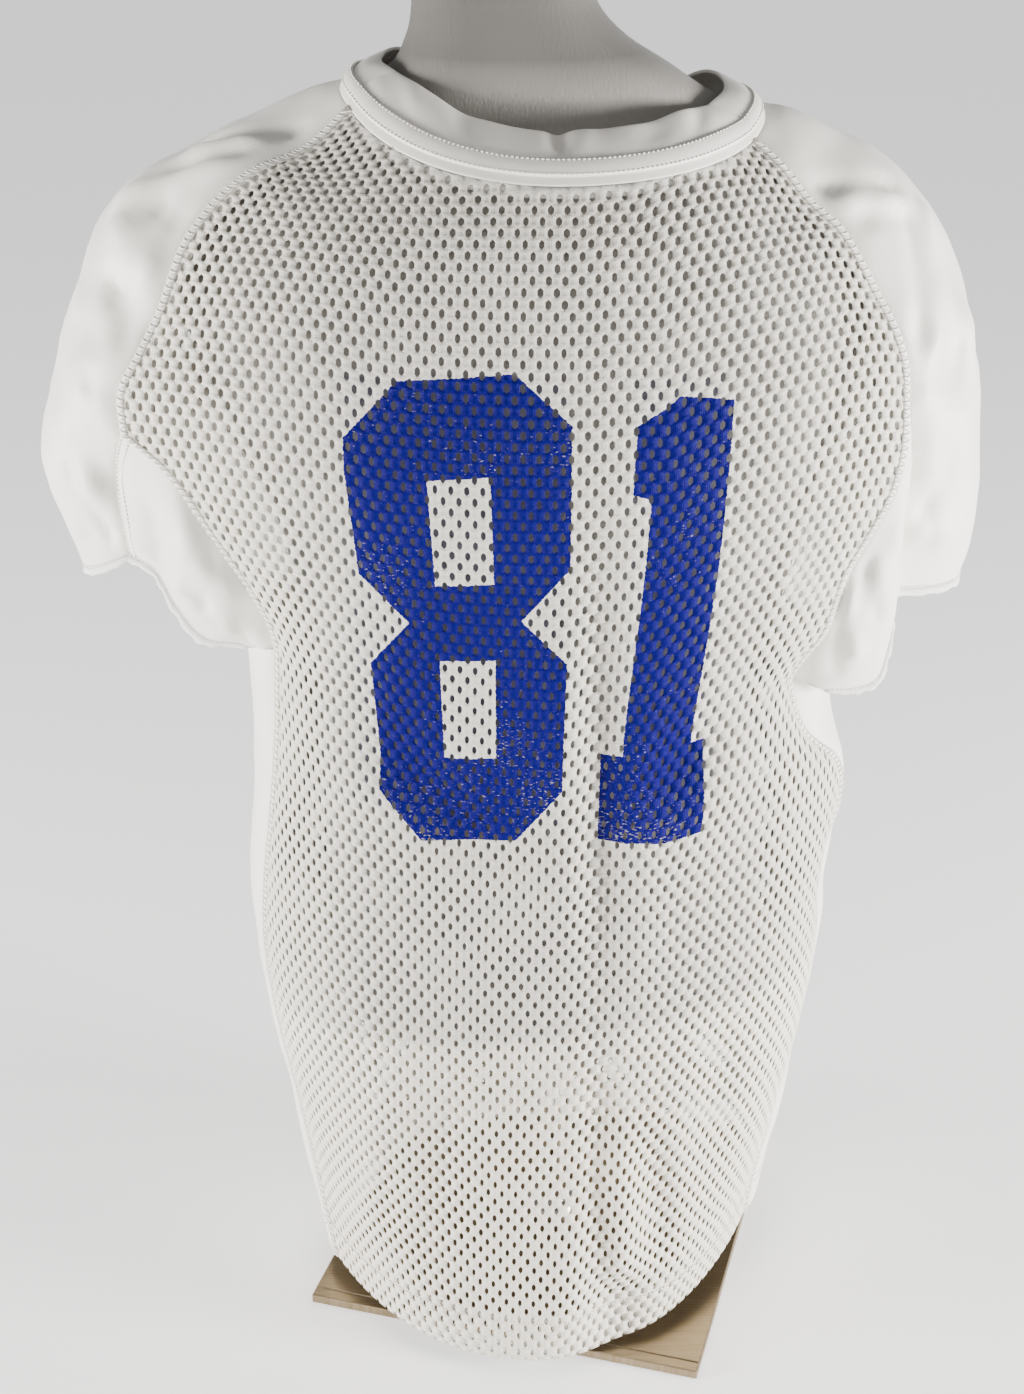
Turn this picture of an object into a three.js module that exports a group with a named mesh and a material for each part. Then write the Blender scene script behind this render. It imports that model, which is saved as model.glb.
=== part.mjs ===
// Football jersey on a limbless dress form, millimetres, +Z up.
// The origin is on the floor under the middle of the stand's base plate and the chest faces -Y.
// "left" is the -X side and "right" the +X side, as the front is seen.
import * as THREE from 'three';

const WALL = 1.6;          // thickness of the walls of cloth
const HEM_WALL = 2.6;      // the same at the turned-up hem
const HEM_ROWS = 2;        // rows of a panel that are turned up
const BAND_WALL = 2.2;     // thickness of the cuff bands and the collar
const SEAM = 0.3;          // gap between pieces at a seam
const BAND_SEAM = 0.44;    // the same round a band
const ROWS_SIDE = 17;      // rows between hem and armpit
const ROWS_ARMHOLE = 7;    // rows between armpit and shoulder point
const ROWS_SHOULDER = 8;   // rows between shoulder point and neck
const COLS_FRONT = 26;
const COLS_BACK = 18;
const COLS_SIDE = 5;       // columns across a side panel
const RIBS_SLEEVE = 5;     // ribs between shoulder point and cuff, for sleeve and gusset alike
const ARCH = 9;            // steps over the top of a sleeve
const SIDE_TURN = 78;      // half the turn of a side panel's section, degrees
const SLEEVE_TURN = { neck: 66, arm: 84 };
const GUSSET_PUFF = 8;     // how far a gusset stands out of its seams
const SOFTENING = 10;      // passes that even a panel's edge for the cloth inside it

// Seams, hem to neck. Columns: x, y, z.
const SEAMS = {
  left: {
    frontSide: [[-143, -62, 20], [-156, -46, 87], [-164, -42, 135], [-175, -42, 200], [-179, -46, 250],
      [-176, -52, 300], [-170, -58, 345], [-164, -62, 400], [-161, -66, 456]],
    frontArmhole: [[-161, -66, 456], [-164, -72, 474], [-174, -78, 498], [-196, -82, 537],
      [-216, -80, 568], [-238, -72, 584]],
    frontShoulder: [[-238, -72, 584], [-238, -70, 608], [-228, -68, 626], [-216, -64, 648],
      [-199, -55, 687], [-167, -46, 719], [-136, -38, 731], [-113, -30, 750]],
    backSide: [[-118, 30, 26], [-138, 40, 100], [-156, 46, 200], [-164, 48, 300], [-160, 48, 380],
      [-154, 46, 456]],
    backArmhole: [[-154, 46, 456], [-162, 56, 480], [-184, 64, 520], [-214, 62, 562], [-232, 56, 588]],
    backShoulder: [[-232, 56, 588], [-230, 58, 612], [-216, 58, 648], [-192, 56, 686], [-150, 54, 720],
      [-118, 53, 734], [-86, 50, 743]],
    frontSleeve: [[-238, -72, 584], [-244, -62, 564], [-245, -57, 541], [-244, -53, 520],
      [-243, -50, 506]],
    backSleeve: [[-232, 56, 588], [-240, 52, 560], [-242, 46, 530], [-242, 42, 500]],
    frontCuff: [[-243, -50, 506], [-228, -58, 500], [-217, -61, 480], [-199, -60, 458],
      [-184, -59, 456], [-177, -57, 453]],
    underCuff: [[-177, -57, 453], [-183, -42, 453], [-196, -22, 452], [-200, -6, 452], [-195, 14, 452],
      [-179, 36, 454]],
    backCuff: [[-179, 36, 454], [-196, 42, 458], [-214, 44, 470], [-230, 44, 488], [-242, 42, 500]],
    ridgeShoulder: [[-114, 10, 758], [-146, 9, 748], [-174, 7, 736], [-205, 5, 722], [-228, 3, 709],
      [-252, 0, 683], [-271, -3, 640], [-285, -5, 597]],
    ridgeSleeve: [[-285, -5, 597], [-293, -5, 555], [-289, -4, 525], [-282, -3, 500], [-277, -2, 484]],
  },
  right: {
    frontSide: [[128, -34, 34], [132, -30, 60], [141, -24, 100], [150, -20, 150], [158, -24, 204],
      [161, -28, 250], [159, -34, 290], [163, -33, 315], [170, -31, 338], [171, -32, 357],
      [165, -40, 375], [155, -49, 386], [144, -56, 398], [136, -61, 416], [131, -66, 438]],
    frontArmhole: [[131, -66, 438], [137, -71, 451], [149, -76, 470], [153, -78, 485], [158, -80, 506],
      [169, -79, 528], [180, -76, 550], [186, -73, 576], [186, -70, 599]],
    frontShoulder: [[186, -70, 599], [184, -66, 623], [177, -62, 642], [167, -58, 659], [158, -55, 675],
      [147, -50, 691], [131, -45, 704], [115, -38, 722], [101, -30, 733]],
    backSide: [[122, 58, 54], [134, 56, 110], [146, 52, 200], [150, 50, 300], [146, 48, 380],
      [140, 46, 438]],
    backArmhole: [[140, 46, 438], [146, 56, 466], [160, 62, 510], [176, 60, 560], [184, 56, 596]],
    backShoulder: [[184, 56, 596], [182, 58, 626], [172, 58, 656], [152, 56, 690], [112, 53, 715],
      [76, 50, 731]],
    frontSleeve: [[186, -70, 599], [189, -66, 578], [188, -64, 556], [183, -60, 520], [178, -56, 489]],
    backSleeve: [[184, 56, 596], [190, 54, 560], [188, 48, 520], [182, 42, 484]],
    frontCuff: [[178, -56, 489], [188, -55, 471], [187, -56, 449], [181, -59, 432], [167, -64, 429],
      [151, -68, 431]],
    underCuff: [[151, -68, 431], [160, -50, 432], [180, -28, 432], [186, -8, 432], [180, 14, 432],
      [161, 38, 434]],
    backCuff: [[161, 38, 434], [176, 44, 436], [186, 46, 452], [188, 45, 470], [182, 42, 484]],
    ridgeShoulder: [[104, 10, 745], [129, 9, 739], [147, 8, 731], [169, 6, 721], [190, 4, 706],
      [209, 1, 678], [224, -2, 640], [233, -4, 606]],
    ridgeSleeve: [[233, -4, 606], [238, -4, 570], [240, -4, 530], [239, -4, 500], [235, -3, 478]],
  },
};

// Middle lines of the two panels. Columns: x, y, z, turn of the row's left half, of its right half (degrees).
const MIDDLE_FRONT = [
  [-15, -150, 9, 48, 58], [-14, -145, 60, 62, 74], [-13, -140, 110, 78, 86], [-11, -136, 200, 88, 92],
  [-9, -133, 300, 84, 92], [-7, -132, 400, 74, 78], [-6, -134, 455, 62, 64], [-5, -134, 500, 56, 56],
  [-5, -131, 596, 60, 58], [-5, -118, 655, 58, 56], [-4, -104, 694, 58, 58], [-3, -88, 720, 68, 68],
];
const MIDDLE_BACK = [
  [2, 84, 24, 70, 60], [0, 86, 100, 80, 76], [-2, 91, 200, 84, 82], [-4, 95, 300, 82, 82], [-5, 98, 400, 74, 74],
  [-5, 101, 450, 68, 68], [-5, 108, 596, 60, 60], [-5, 104, 670, 56, 56], [-5, 86, 716, 58, 58], [-5, 68, 743, 48, 48],
];
// How far a side panel stands out from the line between its seams. Columns: z, left, right.
const SIDE_BULGE = [
  [20, 12, 13], [90, 14, 14], [200, 14, 10], [300, 16, 12], [345, 17, 6], [400, 20, 20], [456, 25, 29],
];

// How far each cuff's band reaches below the cuff edge, over the arm and at most under it.
const CUFF_DEPTH = { crown: 5, left: 12, right: 6 };

// Main folds, raised (+) or sunk (-) along a line seen from the front.
// Columns: x and z of one end, x and z of the other, half width, height, and side (-1 front, 1 back).
const FOLDS = [
  [32, 180, 44, 40, 13, 5, -1], [54, 170, 66, 50, 11, -5, -1], [8, 120, 2, 20, 16, 4, -1], [38, 66, 34, 4, 18, -9, -1],
  [-150, 450, -60, 330, 22, 3.5, -1], [-120, 440, -30, 350, 16, -3, -1],
  [120, 430, 50, 330, 20, 3.5, -1], [90, 440, 30, 370, 14, -3, -1],
  [-90, 250, -120, 60, 18, 4, -1], [-60, 220, -80, 60, 14, -3, -1], [95, 260, 100, 80, 16, -3, -1],
  [-212, 556, -190, 486, 11, 5, -1], [-226, 540, -210, 480, 9, -3, -1],
  [-262, 645, -248, 600, 11, -4, -1], [-286, 560, -256, 535, 10, 3, -1], [-286, 530, -258, 508, 9, -3, -1],
  [172, 520, 186, 470, 10, 4, -1], [196, 640, 216, 590, 11, -4, -1], [206, 530, 236, 505, 10, 3, -1],
  [-60, 470, 60, 440, 24, 3, 1], [-110, 420, 20, 300, 26, 4, 1], [110, 420, -10, 300, 26, 4, 1],
  [-60, 200, -70, 60, 18, 5, 1], [40, 200, 60, 60, 18, 5, 1], [-10, 180, -6, 60, 16, -4, 1],
  [-214, 560, -190, 490, 10, 4, 1], [170, 540, 184, 470, 10, 4, 1],
];

const mix = (a, b, t) => a + (b - a) * t;
const add = (a, b) => a.map((v, i) => v + b[i]);
const sub = (a, b) => a.map((v, i) => v - b[i]);
const scale = (a, k) => a.map((v) => v * k);
const dot = (a, b) => a[0] * b[0] + a[1] * b[1] + a[2] * b[2];
const cross = (a, b) => [
  a[1] * b[2] - a[2] * b[1],
  a[2] * b[0] - a[0] * b[2],
  a[0] * b[1] - a[1] * b[0],
];
const unit = (a) => scale(a, 1 / (Math.hypot(...a) || 1));
const rad = (d) => (d * Math.PI) / 180;
const smooth = (t) => {
  const c = Math.min(Math.max(t, 0), 1);
  return c * c * (3 - 2 * c);
};

// Smooth value of a table at knot value k: rows of [knot, v0, v1, ...].
function lookup(rows, k) {
  let i = 0;
  while (i < rows.length - 2 && k > rows[i + 1][0]) i += 1;
  const [a, b] = [rows[i], rows[i + 1]];
  const h = b[0] - a[0];
  const t = Math.min(Math.max((k - a[0]) / h, 0), 1);
  return a.slice(1).map((va, c) => {
    const vb = b[c + 1];
    const s = (vb - va) / h;
    const p = rows[i - 1];
    const n = rows[i + 2];
    const ma = p ? (s * (a[0] - p[0]) + ((va - p[c + 1]) / (a[0] - p[0])) * h) / (b[0] - p[0]) : s;
    const mb = n ? (s * (n[0] - b[0]) + ((n[c + 1] - vb) / (n[0] - b[0])) * h) / (n[0] - a[0]) : s;
    const [t2, t3] = [t * t, t * t * t];
    return (2 * t3 - 3 * t2 + 1) * va + (t3 - 2 * t2 + t) * h * ma
      + (3 * t2 - 2 * t3) * vb + (t3 - t2) * h * mb;
  });
}

// Points evenly along a smooth line through a table of [x, y, z].
function along(points, steps) {
  const rows = [[0, ...points[0]]];
  for (let i = 1; i < points.length; i += 1) {
    rows.push([rows[i - 1][0] + Math.hypot(...sub(points[i], points[i - 1])), ...points[i]]);
  }
  const length = rows[rows.length - 1][0];
  return Array.from({ length: steps + 1 }, (_, i) => lookup(rows, (length * i) / steps));
}

// The folds move a point straight forward or back, so pieces that share a seam stay together.
function fold(p) {
  let y = p[1];
  for (const [x1, z1, x2, z2, width, height, side] of FOLDS) {
    const facing = smooth((side * p[1] - 8) / 40);
    if (facing > 0) {
      const [dx, dz] = [x2 - x1, z2 - z1];
      const t = ((p[0] - x1) * dx + (p[2] - z1) * dz) / (dx * dx + dz * dz);
      const k = Math.min(Math.max(t, 0), 1);
      const off = Math.hypot(p[0] - x1 - k * dx, p[2] - z1 - k * dz) / width;
      y += side * height * facing * Math.exp(-off * off) * smooth(1.25 - 2 * Math.abs(t - 0.5));
    }
  }
  return [p[0], y, p[2]];
}

// One half row of a panel, u from 0 at the middle line to 1 at the seam.
function halfRow(middle, end, turn, u) {
  const a = rad(turn);
  const sx = Math.sin(a * u) / Math.sin(a);
  const sy = (1 - Math.cos(a * u)) / (1 - Math.cos(a));
  return [mix(middle[0], end[0], sx), mix(middle[1], end[1], sy), mix(middle[2], end[2], u * u)];
}

// An arch from a through the crown to b.
function arch(a, crown, b, turn, t) {
  const foot = scale(add(a, b), 0.5);
  const w = rad(turn);
  const c = Math.sin(w * (1 - 2 * t)) / Math.sin(w);
  const s = (Math.cos(w * (1 - 2 * t)) - Math.cos(w)) / (1 - Math.cos(w));
  return add(add(foot, scale(sub(a, b), 0.5 * c)), scale(sub(crown, foot), s));
}

// A softened copy of a seam line, which the cloth follows away from the seam itself.
function soften(line, times) {
  let soft = line;
  for (let k = 0; k < times; k += 1) {
    soft = soft.map((p, i) => (i === 0 || i === soft.length - 1
      ? p : add(scale(p, 0.5), scale(add(soft[i - 1], soft[i + 1]), 0.25))));
  }
  return soft;
}

function panel(leftEnds, rightEnds, table, cols, zones) {
  const rows = table.map(([x, y, z, turnL, turnR]) => [z, x, y, turnL, turnR]);
  const ends = [leftEnds, rightEnds];
  const soft = ends.map((line) => soften(line, SOFTENING));
  return leftEnds.map((_, i) => {
    const z = lookup(zones, i)[0];
    const [x, y, ...turns] = lookup(rows, z);
    return Array.from({ length: cols + 1 }, (__, j) => {
      const u = Math.abs((2 * j) / cols - 1);
      const half = j * 2 < cols ? 0 : 1;
      const p = halfRow([x, y, z], soft[half][i], turns[half], u);
      return add(p, scale(sub(ends[half][i], soft[half][i]), u ** 4));
    });
  });
}

function seamLine(side, face) {
  return [
    ...along(SEAMS[side][`${face}Side`], ROWS_SIDE),
    ...along(SEAMS[side][`${face}Armhole`], ROWS_ARMHOLE).slice(1),
    ...along(SEAMS[side][`${face}Shoulder`], ROWS_SHOULDER).slice(1),
  ];
}

const PIT = ROWS_SIDE;
const POINT = PIT + ROWS_ARMHOLE;
const NECK = POINT + ROWS_SHOULDER;

// The elastic band that carries on below the cuff edge, the way the cloth above it runs.
function cuffBand(gusset, sleeve, depth) {
  const last = RIBS_SLEEVE;
  const under = gusset.map((row) => [row[last], unit(sub(row[last], row[last - 1]))]);
  const end = sleeve.length - 1;
  const over = sleeve[end].map((p, j) => [p, unit(sub(p, sleeve[end - 1][j]))])
    .slice(1, -1).reverse();
  const edge = [...under, ...over];
  const count = edge.length;
  let lines = edge.map(([, line]) => line);
  for (let k = 0; k < 4; k += 1) {
    lines = lines.map((line, i) => {
      const beside = add(lines[(i + 1) % count], lines[(i + count - 1) % count]);
      return unit(add(line, beside));
    });
  }
  return [0, 0.5, 1].map((r) => edge.map(([p], i) => {
    const t = Math.min(i / (under.length - 1), 1);
    const drop = mix(CUFF_DEPTH.crown, depth, Math.sin(Math.PI * t) ** 2);
    return add(p, scale(lines[i], drop * r));
  }));
}

function garmentSheets() {
  const sheets = {};
  const ends = {};
  for (const side of ['left', 'right']) {
    ends[side] = { front: seamLine(side, 'front'), back: seamLine(side, 'back') };
  }
  const zonesFront = [[0, 9], [PIT, 447], [POINT, 592], [NECK, 720]];
  const zonesBack = [[0, 24], [PIT, 447], [POINT, 594], [NECK, 743]];
  const middleBack = MIDDLE_BACK.map(([x, y, z, left, right]) => [x, y, z, right, left]);
  sheets.front_panel = panel(ends.left.front, ends.right.front, MIDDLE_FRONT, COLS_FRONT, zonesFront);
  sheets.back_panel = panel(ends.right.back, ends.left.back, middleBack, COLS_BACK, zonesBack);
  for (const side of ['left', 'right']) {
    const seams = SEAMS[side];
    const out = side === 'left' ? -1 : 1;
    const { front, back } = ends[side];
    const column = side === 'left' ? 0 : 1;
    const sidePanel = [];
    for (let i = 0; i <= PIT; i += 1) {
      const [a, b] = [front[i], back[i]];
      const bulge = lookup(SIDE_BULGE, (a[2] + b[2]) / 2)[column];
      const crown = add(scale(add(a, b), 0.5), [out * bulge, 0, 0]);
      sidePanel.push(Array.from({ length: COLS_SIDE + 1 }, (_, j) => (
        arch(a, crown, b, SIDE_TURN, j / COLS_SIDE))));
    }
    sheets[`side_panel_${side}`] = sidePanel;

    const ribsFront = [...front.slice(POINT).reverse(), ...along(seams.frontSleeve, RIBS_SLEEVE).slice(1)];
    const ribsBack = [...back.slice(POINT).reverse(), ...along(seams.backSleeve, RIBS_SLEEVE).slice(1)];
    const crowns = [
      ...along(seams.ridgeShoulder, ROWS_SHOULDER),
      ...along(seams.ridgeSleeve, RIBS_SLEEVE).slice(1),
    ];
    sheets[`sleeve_${side}`] = crowns.map((crown, k) => {
      const turn = mix(SLEEVE_TURN.neck, SLEEVE_TURN.arm, smooth(k / ROWS_SHOULDER));
      return Array.from({ length: ARCH + 1 }, (_, j) => (
        arch(ribsFront[k], crown, ribsBack[k], turn, j / ARCH)));
    });

    const armhole = [
      ...front.slice(PIT, POINT + 1).reverse(),
      ...sidePanel[PIT].slice(1, -1),
      ...back.slice(PIT, POINT + 1),
    ];
    const cuffEdge = [
      ...along(seams.frontCuff, ROWS_ARMHOLE),
      ...along(seams.underCuff, COLS_SIDE).slice(1),
      ...along(seams.backCuff, ROWS_ARMHOLE).slice(1),
    ];
    const seamF = along(seams.frontSleeve, RIBS_SLEEVE);
    const seamB = along(seams.backSleeve, RIBS_SLEEVE);
    sheets[`gusset_${side}`] = armhole.map((a, i) => {
      const u = i / (armhole.length - 1);
      return Array.from({ length: RIBS_SLEEVE + 1 }, (_, j) => {
        const v = j / RIBS_SLEEVE;
        const b = cuffEdge[i];
        const p = a.map((value, c) => mix(value, b[c], v));
        if (i === 0) return seamF[j];
        if (i === armhole.length - 1) return seamB[j];
        const swell = Math.sin(Math.PI * v) * Math.sin(2 * Math.PI * Math.min(u, 1 - u));
        return [p[0], p[1] - GUSSET_PUFF * swell * Math.cos(Math.PI * u), p[2]];
      });
    });
    sheets[`cuff_${side}`] = cuffBand(sheets[`gusset_${side}`], sheets[`sleeve_${side}`], CUFF_DEPTH[side]);
  }
  return sheets;
}

// Which way each sheet faces outward, from its row and column directions.
const FACING = { front_panel: 1, back_panel: 1, side_panel_left: -1, side_panel_right: 1, sleeve_left: 1,
  sleeve_right: -1, gusset_left: 1, gusset_right: -1, cuff_left: -1, cuff_right: 1, collar: -1 };

// How far the collar leans in to the neck and rises at the front and the back, how much lower it is
// at the sides, how far its middle swells, and where its rows lie between seam and edge.
const COLLAR = {
  middle: [-6, -8],
  reach: [29, 14],
  rise: [22, 20],
  sideDip: 10,
  swell: 2.5,
  rows: [0, 0.12, 0.4, 0.7, 1],
};

function collarBand(seam) {
  return COLLAR.rows.map((r) => seam.map((p) => {
    const toward = unit([COLLAR.middle[0] - p[0], COLLAR.middle[1] - p[1], 0]);
    const back = smooth((p[1] + 60) / 110);
    const rise = mix(...COLLAR.rise, back) - COLLAR.sideDip * Math.sin(Math.PI * back);
    const swell = COLLAR.swell * Math.sin(Math.PI * r);
    const lean = mix(...COLLAR.reach, back) * r - 0.6 * swell;
    return [p[0] + toward[0] * lean, p[1] + toward[1] * lean, p[2] + rise * r + swell];
  }));
}

function allSheets() {
  const sheets = garmentSheets();
  const top = (name) => sheets[name][sheets[name].length - 1];
  sheets.collar = collarBand([
    ...top('front_panel').slice(0, -1),
    ...sheets.sleeve_right[0].slice(0, -1),
    ...top('back_panel').slice(0, -1),
    ...sheets.sleeve_left[0].slice().reverse().slice(0, -1),
  ]);
  for (const name of Object.keys(sheets)) sheets[name] = sheets[name].map((row) => row.map(fold));
  return sheets;
}

const RINGS = ['cuff_left', 'cuff_right', 'collar'];
const key = (p) => p.map((v) => v.toFixed(3)).join(' ');

// Normals shared by every piece at a common seam, so that the walls keep meeting there.
function sharedNormals(sheets) {
  const normals = new Map();
  for (const [name, sheet] of Object.entries(sheets)) {
    const ring = RINGS.includes(name);
    const cols = sheet[0].length;
    for (let i = 0; i < sheet.length - 1; i += 1) {
      for (let j = 0; j < (ring ? cols : cols - 1); j += 1) {
        const next = (j + 1) % cols;
        const corners = [sheet[i][j], sheet[i][next], sheet[i + 1][next], sheet[i + 1][j]];
        const n = scale(cross(sub(corners[2], corners[0]), sub(corners[3], corners[1])), FACING[name]);
        for (const p of corners) normals.set(key(p), add(normals.get(key(p)) || [0, 0, 0], n));
      }
    }
  }
  for (const [k, n] of normals) normals.set(k, unit(n));
  return normals;
}

// Pull a sheet's edges in by half a seam gap.
function inset(sheet, ring, gap) {
  const rows = sheet.length;
  const cols = sheet[0].length;
  const pull = (p, inner, before, after) => {
    const line = unit(sub(after, before));
    const d = sub(inner, p);
    return scale(unit(sub(d, scale(line, dot(d, line)))), gap);
  };
  return sheet.map((row, i) => row.map((p, j) => {
    let q = p;
    const before = ring ? (j + cols - 1) % cols : Math.max(j - 1, 0);
    const after = ring ? (j + 1) % cols : Math.min(j + 1, cols - 1);
    const across = [row[before], row[after]];
    const down = [sheet[Math.max(i - 1, 0)][j], sheet[Math.min(i + 1, rows - 1)][j]];
    if (i === 0) q = add(q, pull(p, sheet[1][j], ...across));
    if (i === rows - 1) q = add(q, pull(p, sheet[rows - 2][j], ...across));
    if (!ring && j === 0) q = add(q, pull(p, row[1], ...down));
    if (!ring && j === cols - 1) q = add(q, pull(p, row[cols - 2], ...down));
    return q;
  }));
}

function solid(points, faces) {
  const geometry = new THREE.BufferGeometry();
  geometry.setAttribute('position', new THREE.Float32BufferAttribute(points.flat(), 3));
  geometry.setIndex(faces.flat());
  geometry.computeVertexNormals();
  return geometry;
}

// A closed wall between an outer and an inner sheet.
function wall(outer, inner, ring, facing) {
  const rows = outer.length;
  const cols = outer[0].length;
  const points = [...outer.flat(), ...inner.flat()];
  const faces = [];
  const bend = (a, b, c, d) => {
    const n1 = unit(cross(sub(points[b], points[a]), sub(points[c], points[a])));
    const n2 = unit(cross(sub(points[c], points[a]), sub(points[d], points[a])));
    return dot(n1, n2);
  };
  const quad = (a, b, c, d, turned = false) => {
    const pair = turned ? [[b, c, d], [b, d, a]] : [[a, b, c], [a, c, d]];
    faces.push(...(facing > 0 ? pair : pair.map(([p, q, r]) => [p, r, q])));
  };
  const at = (i, j, layer) => layer * rows * cols + i * cols + (j % cols);
  const last = ring ? cols : cols - 1;
  for (let i = 0; i < rows - 1; i += 1) {
    for (let j = 0; j < last; j += 1) {
      const [a, b, c, d] = [at(i, j, 0), at(i, j + 1, 0), at(i + 1, j + 1, 0), at(i + 1, j, 0)];
      const turned = bend(b, c, d, a) > bend(a, b, c, d);
      quad(a, b, c, d, turned);
      quad(at(i, j, 1), at(i + 1, j, 1), at(i + 1, j + 1, 1), at(i, j + 1, 1), turned);
    }
  }
  for (let j = 0; j < last; j += 1) {
    quad(at(0, j, 1), at(0, j + 1, 1), at(0, j + 1, 0), at(0, j, 0));
    quad(at(rows - 1, j, 0), at(rows - 1, j + 1, 0), at(rows - 1, j + 1, 1), at(rows - 1, j, 1));
  }
  if (!ring) {
    for (let i = 0; i < rows - 1; i += 1) {
      quad(at(i, 0, 0), at(i + 1, 0, 0), at(i + 1, 0, 1), at(i, 0, 1));
      quad(at(i, cols - 1, 1), at(i + 1, cols - 1, 1), at(i + 1, cols - 1, 0), at(i, cols - 1, 0));
    }
  }
  return solid(points, faces);
}

// Dress form. Columns: z, left and right x, front and back y, squareness of the section.
const FORM = [
  [205, -126, 112, -108, 70, 2.2], [209, -132, 118, -115, 76, 2.2], [222, -137, 123, -120, 80, 2.2],
  [260, -139, 124, -121, 82, 2.2], [300, -141, 124, -121, 82, 2.2], [380, -146, 121, -122, 84, 2.2],
  [450, -150, 120, -124, 89, 2.2], [510, -158, 134, -124, 93, 2.2], [560, -176, 150, -123, 96, 2.2],
  [610, -200, 166, -115, 95, 2.1], [650, -212, 177, -102, 90, 2.1], [680, -214, 178, -84, 80, 2.1],
  [698, -212, 174, -69, 70, 2.1], [708, -206, 167, -61, 64, 2.1], [718, -201, 157, -53, 58, 2.1],
  [728, -186.5, 142, -43, 51, 2.1], [738, -164.5, 119, -38, 46, 2.1], [747, -139, 90, -37, 42, 2.1],
  [756, -111, 73, -41, 41, 2.1], [766, -93, 58, -43, 42, 2.1], [780, -84, 35, -47, 44, 2.1],
  [798, -80, 18, -51, 46, 2.1], [812, -80, 15, -52, 46, 2.1],
  [816, -77, 12, -49, 43, 2.1], [818, -70, 5, -42, 36, 2.1],
];
const FORM_AROUND = 44;

function formGeometry() {
  const around = FORM_AROUND;
  const points = [];
  for (const [z, x1, x2, y1, y2, power] of FORM) {
    for (let j = 0; j < around; j += 1) {
      const a = (2 * Math.PI * j) / around;
      const c = Math.cos(a);
      const s = Math.sin(a);
      const x = Math.sign(c) * Math.abs(c) ** (2 / power);
      const y = Math.sign(s) * Math.abs(s) ** (2 / power);
      points.push([(x1 + x2) / 2 + (x * (x2 - x1)) / 2, (y1 + y2) / 2 + (y * (y2 - y1)) / 2, z]);
    }
  }
  const faces = [];
  const rows = FORM.length;
  for (let i = 0; i < rows - 1; i += 1) {
    for (let j = 0; j < around; j += 1) {
      const [a, b] = [i * around + j, i * around + ((j + 1) % around)];
      faces.push([a, b, b + around], [a, b + around, a + around]);
    }
  }
  points.push([(FORM[0][1] + FORM[0][2]) / 2, (FORM[0][3] + FORM[0][4]) / 2, FORM[0][0]]);
  const end = FORM[rows - 1];
  points.push([(end[1] + end[2]) / 2, (end[3] + end[4]) / 2, end[0]]);
  for (let j = 0; j < around; j += 1) {
    const k = (j + 1) % around;
    faces.push([rows * around, k, j]);
    faces.push([rows * around + 1, (rows - 1) * around + j, (rows - 1) * around + k]);
  }
  return solid(points, faces);
}

const COLOURS = { cloth: 0xf4f4f1, form: 0xd8d2c6, steel: 0xb9bcc0 };
const TAPE = { inner: 0.5, outer: 1.4 };                  // the tape's faces, out from the collar
const PLATE = { side: 254, height: 6.35, turn: -15.97 };
const POLE = { radius: 10, gap: 0.3 };                    // gap at each end

function part() {
  const group = new THREE.Group();
  group.name = 'football_jersey_on_dress_form';
  const put = (name, geometry, colour, metal = 0) => {
    const roughness = metal ? 0.25 : 0.85;
    const material = new THREE.MeshStandardMaterial({ color: colour, roughness, metalness: metal });
    material.name = `${name}_material`;
    const mesh = new THREE.Mesh(geometry, material);
    mesh.name = name;
    group.add(mesh);
  };

  const sheets = allSheets();
  const normals = sharedNormals(sheets);
  const shift = (sheet, amount) => (
    sheet.map((row, i) => row.map((p) => add(p, scale(normals.get(key(p)), amount(i))))));
  for (const [name, sheet] of Object.entries(sheets)) {
    const ring = RINGS.includes(name);
    const hemmed = name.includes('panel');
    const thick = (i) => {
      if (hemmed && i < HEM_ROWS) return HEM_WALL;
      return ring ? BAND_WALL : WALL;
    };
    const gap = (ring ? BAND_SEAM : SEAM) / 2;
    const outer = inset(sheet, ring, gap);
    const inner = inset(shift(sheet, (i) => -thick(i)), ring, gap);
    put(name, wall(outer, inner, ring, FACING[name]), COLOURS.cloth);
  }
  const strip = sheets.collar.slice(1, 3);
  const tape = [TAPE.outer, TAPE.inner].map((out) => shift(strip, () => out));
  put('neck_tape', wall(...tape, true, FACING.collar), COLOURS.cloth);

  put('dress_form', formGeometry(), COLOURS.form);
  const ends = [PLATE.height + POLE.gap, FORM[0][0] - POLE.gap];
  const pole = new THREE.CylinderGeometry(POLE.radius, POLE.radius, ends[1] - ends[0], 24);
  pole.rotateX(Math.PI / 2);
  pole.translate(0, 0, (ends[0] + ends[1]) / 2);
  put('pole', pole, COLOURS.steel, 1);
  const plate = new THREE.BoxGeometry(PLATE.side, PLATE.side, PLATE.height);
  plate.translate(0, 0, PLATE.height / 2);
  plate.rotateZ(rad(PLATE.turn));
  put('base_plate', plate, COLOURS.steel, 1);
  return group;
}

export default part();
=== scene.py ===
import math

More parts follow.
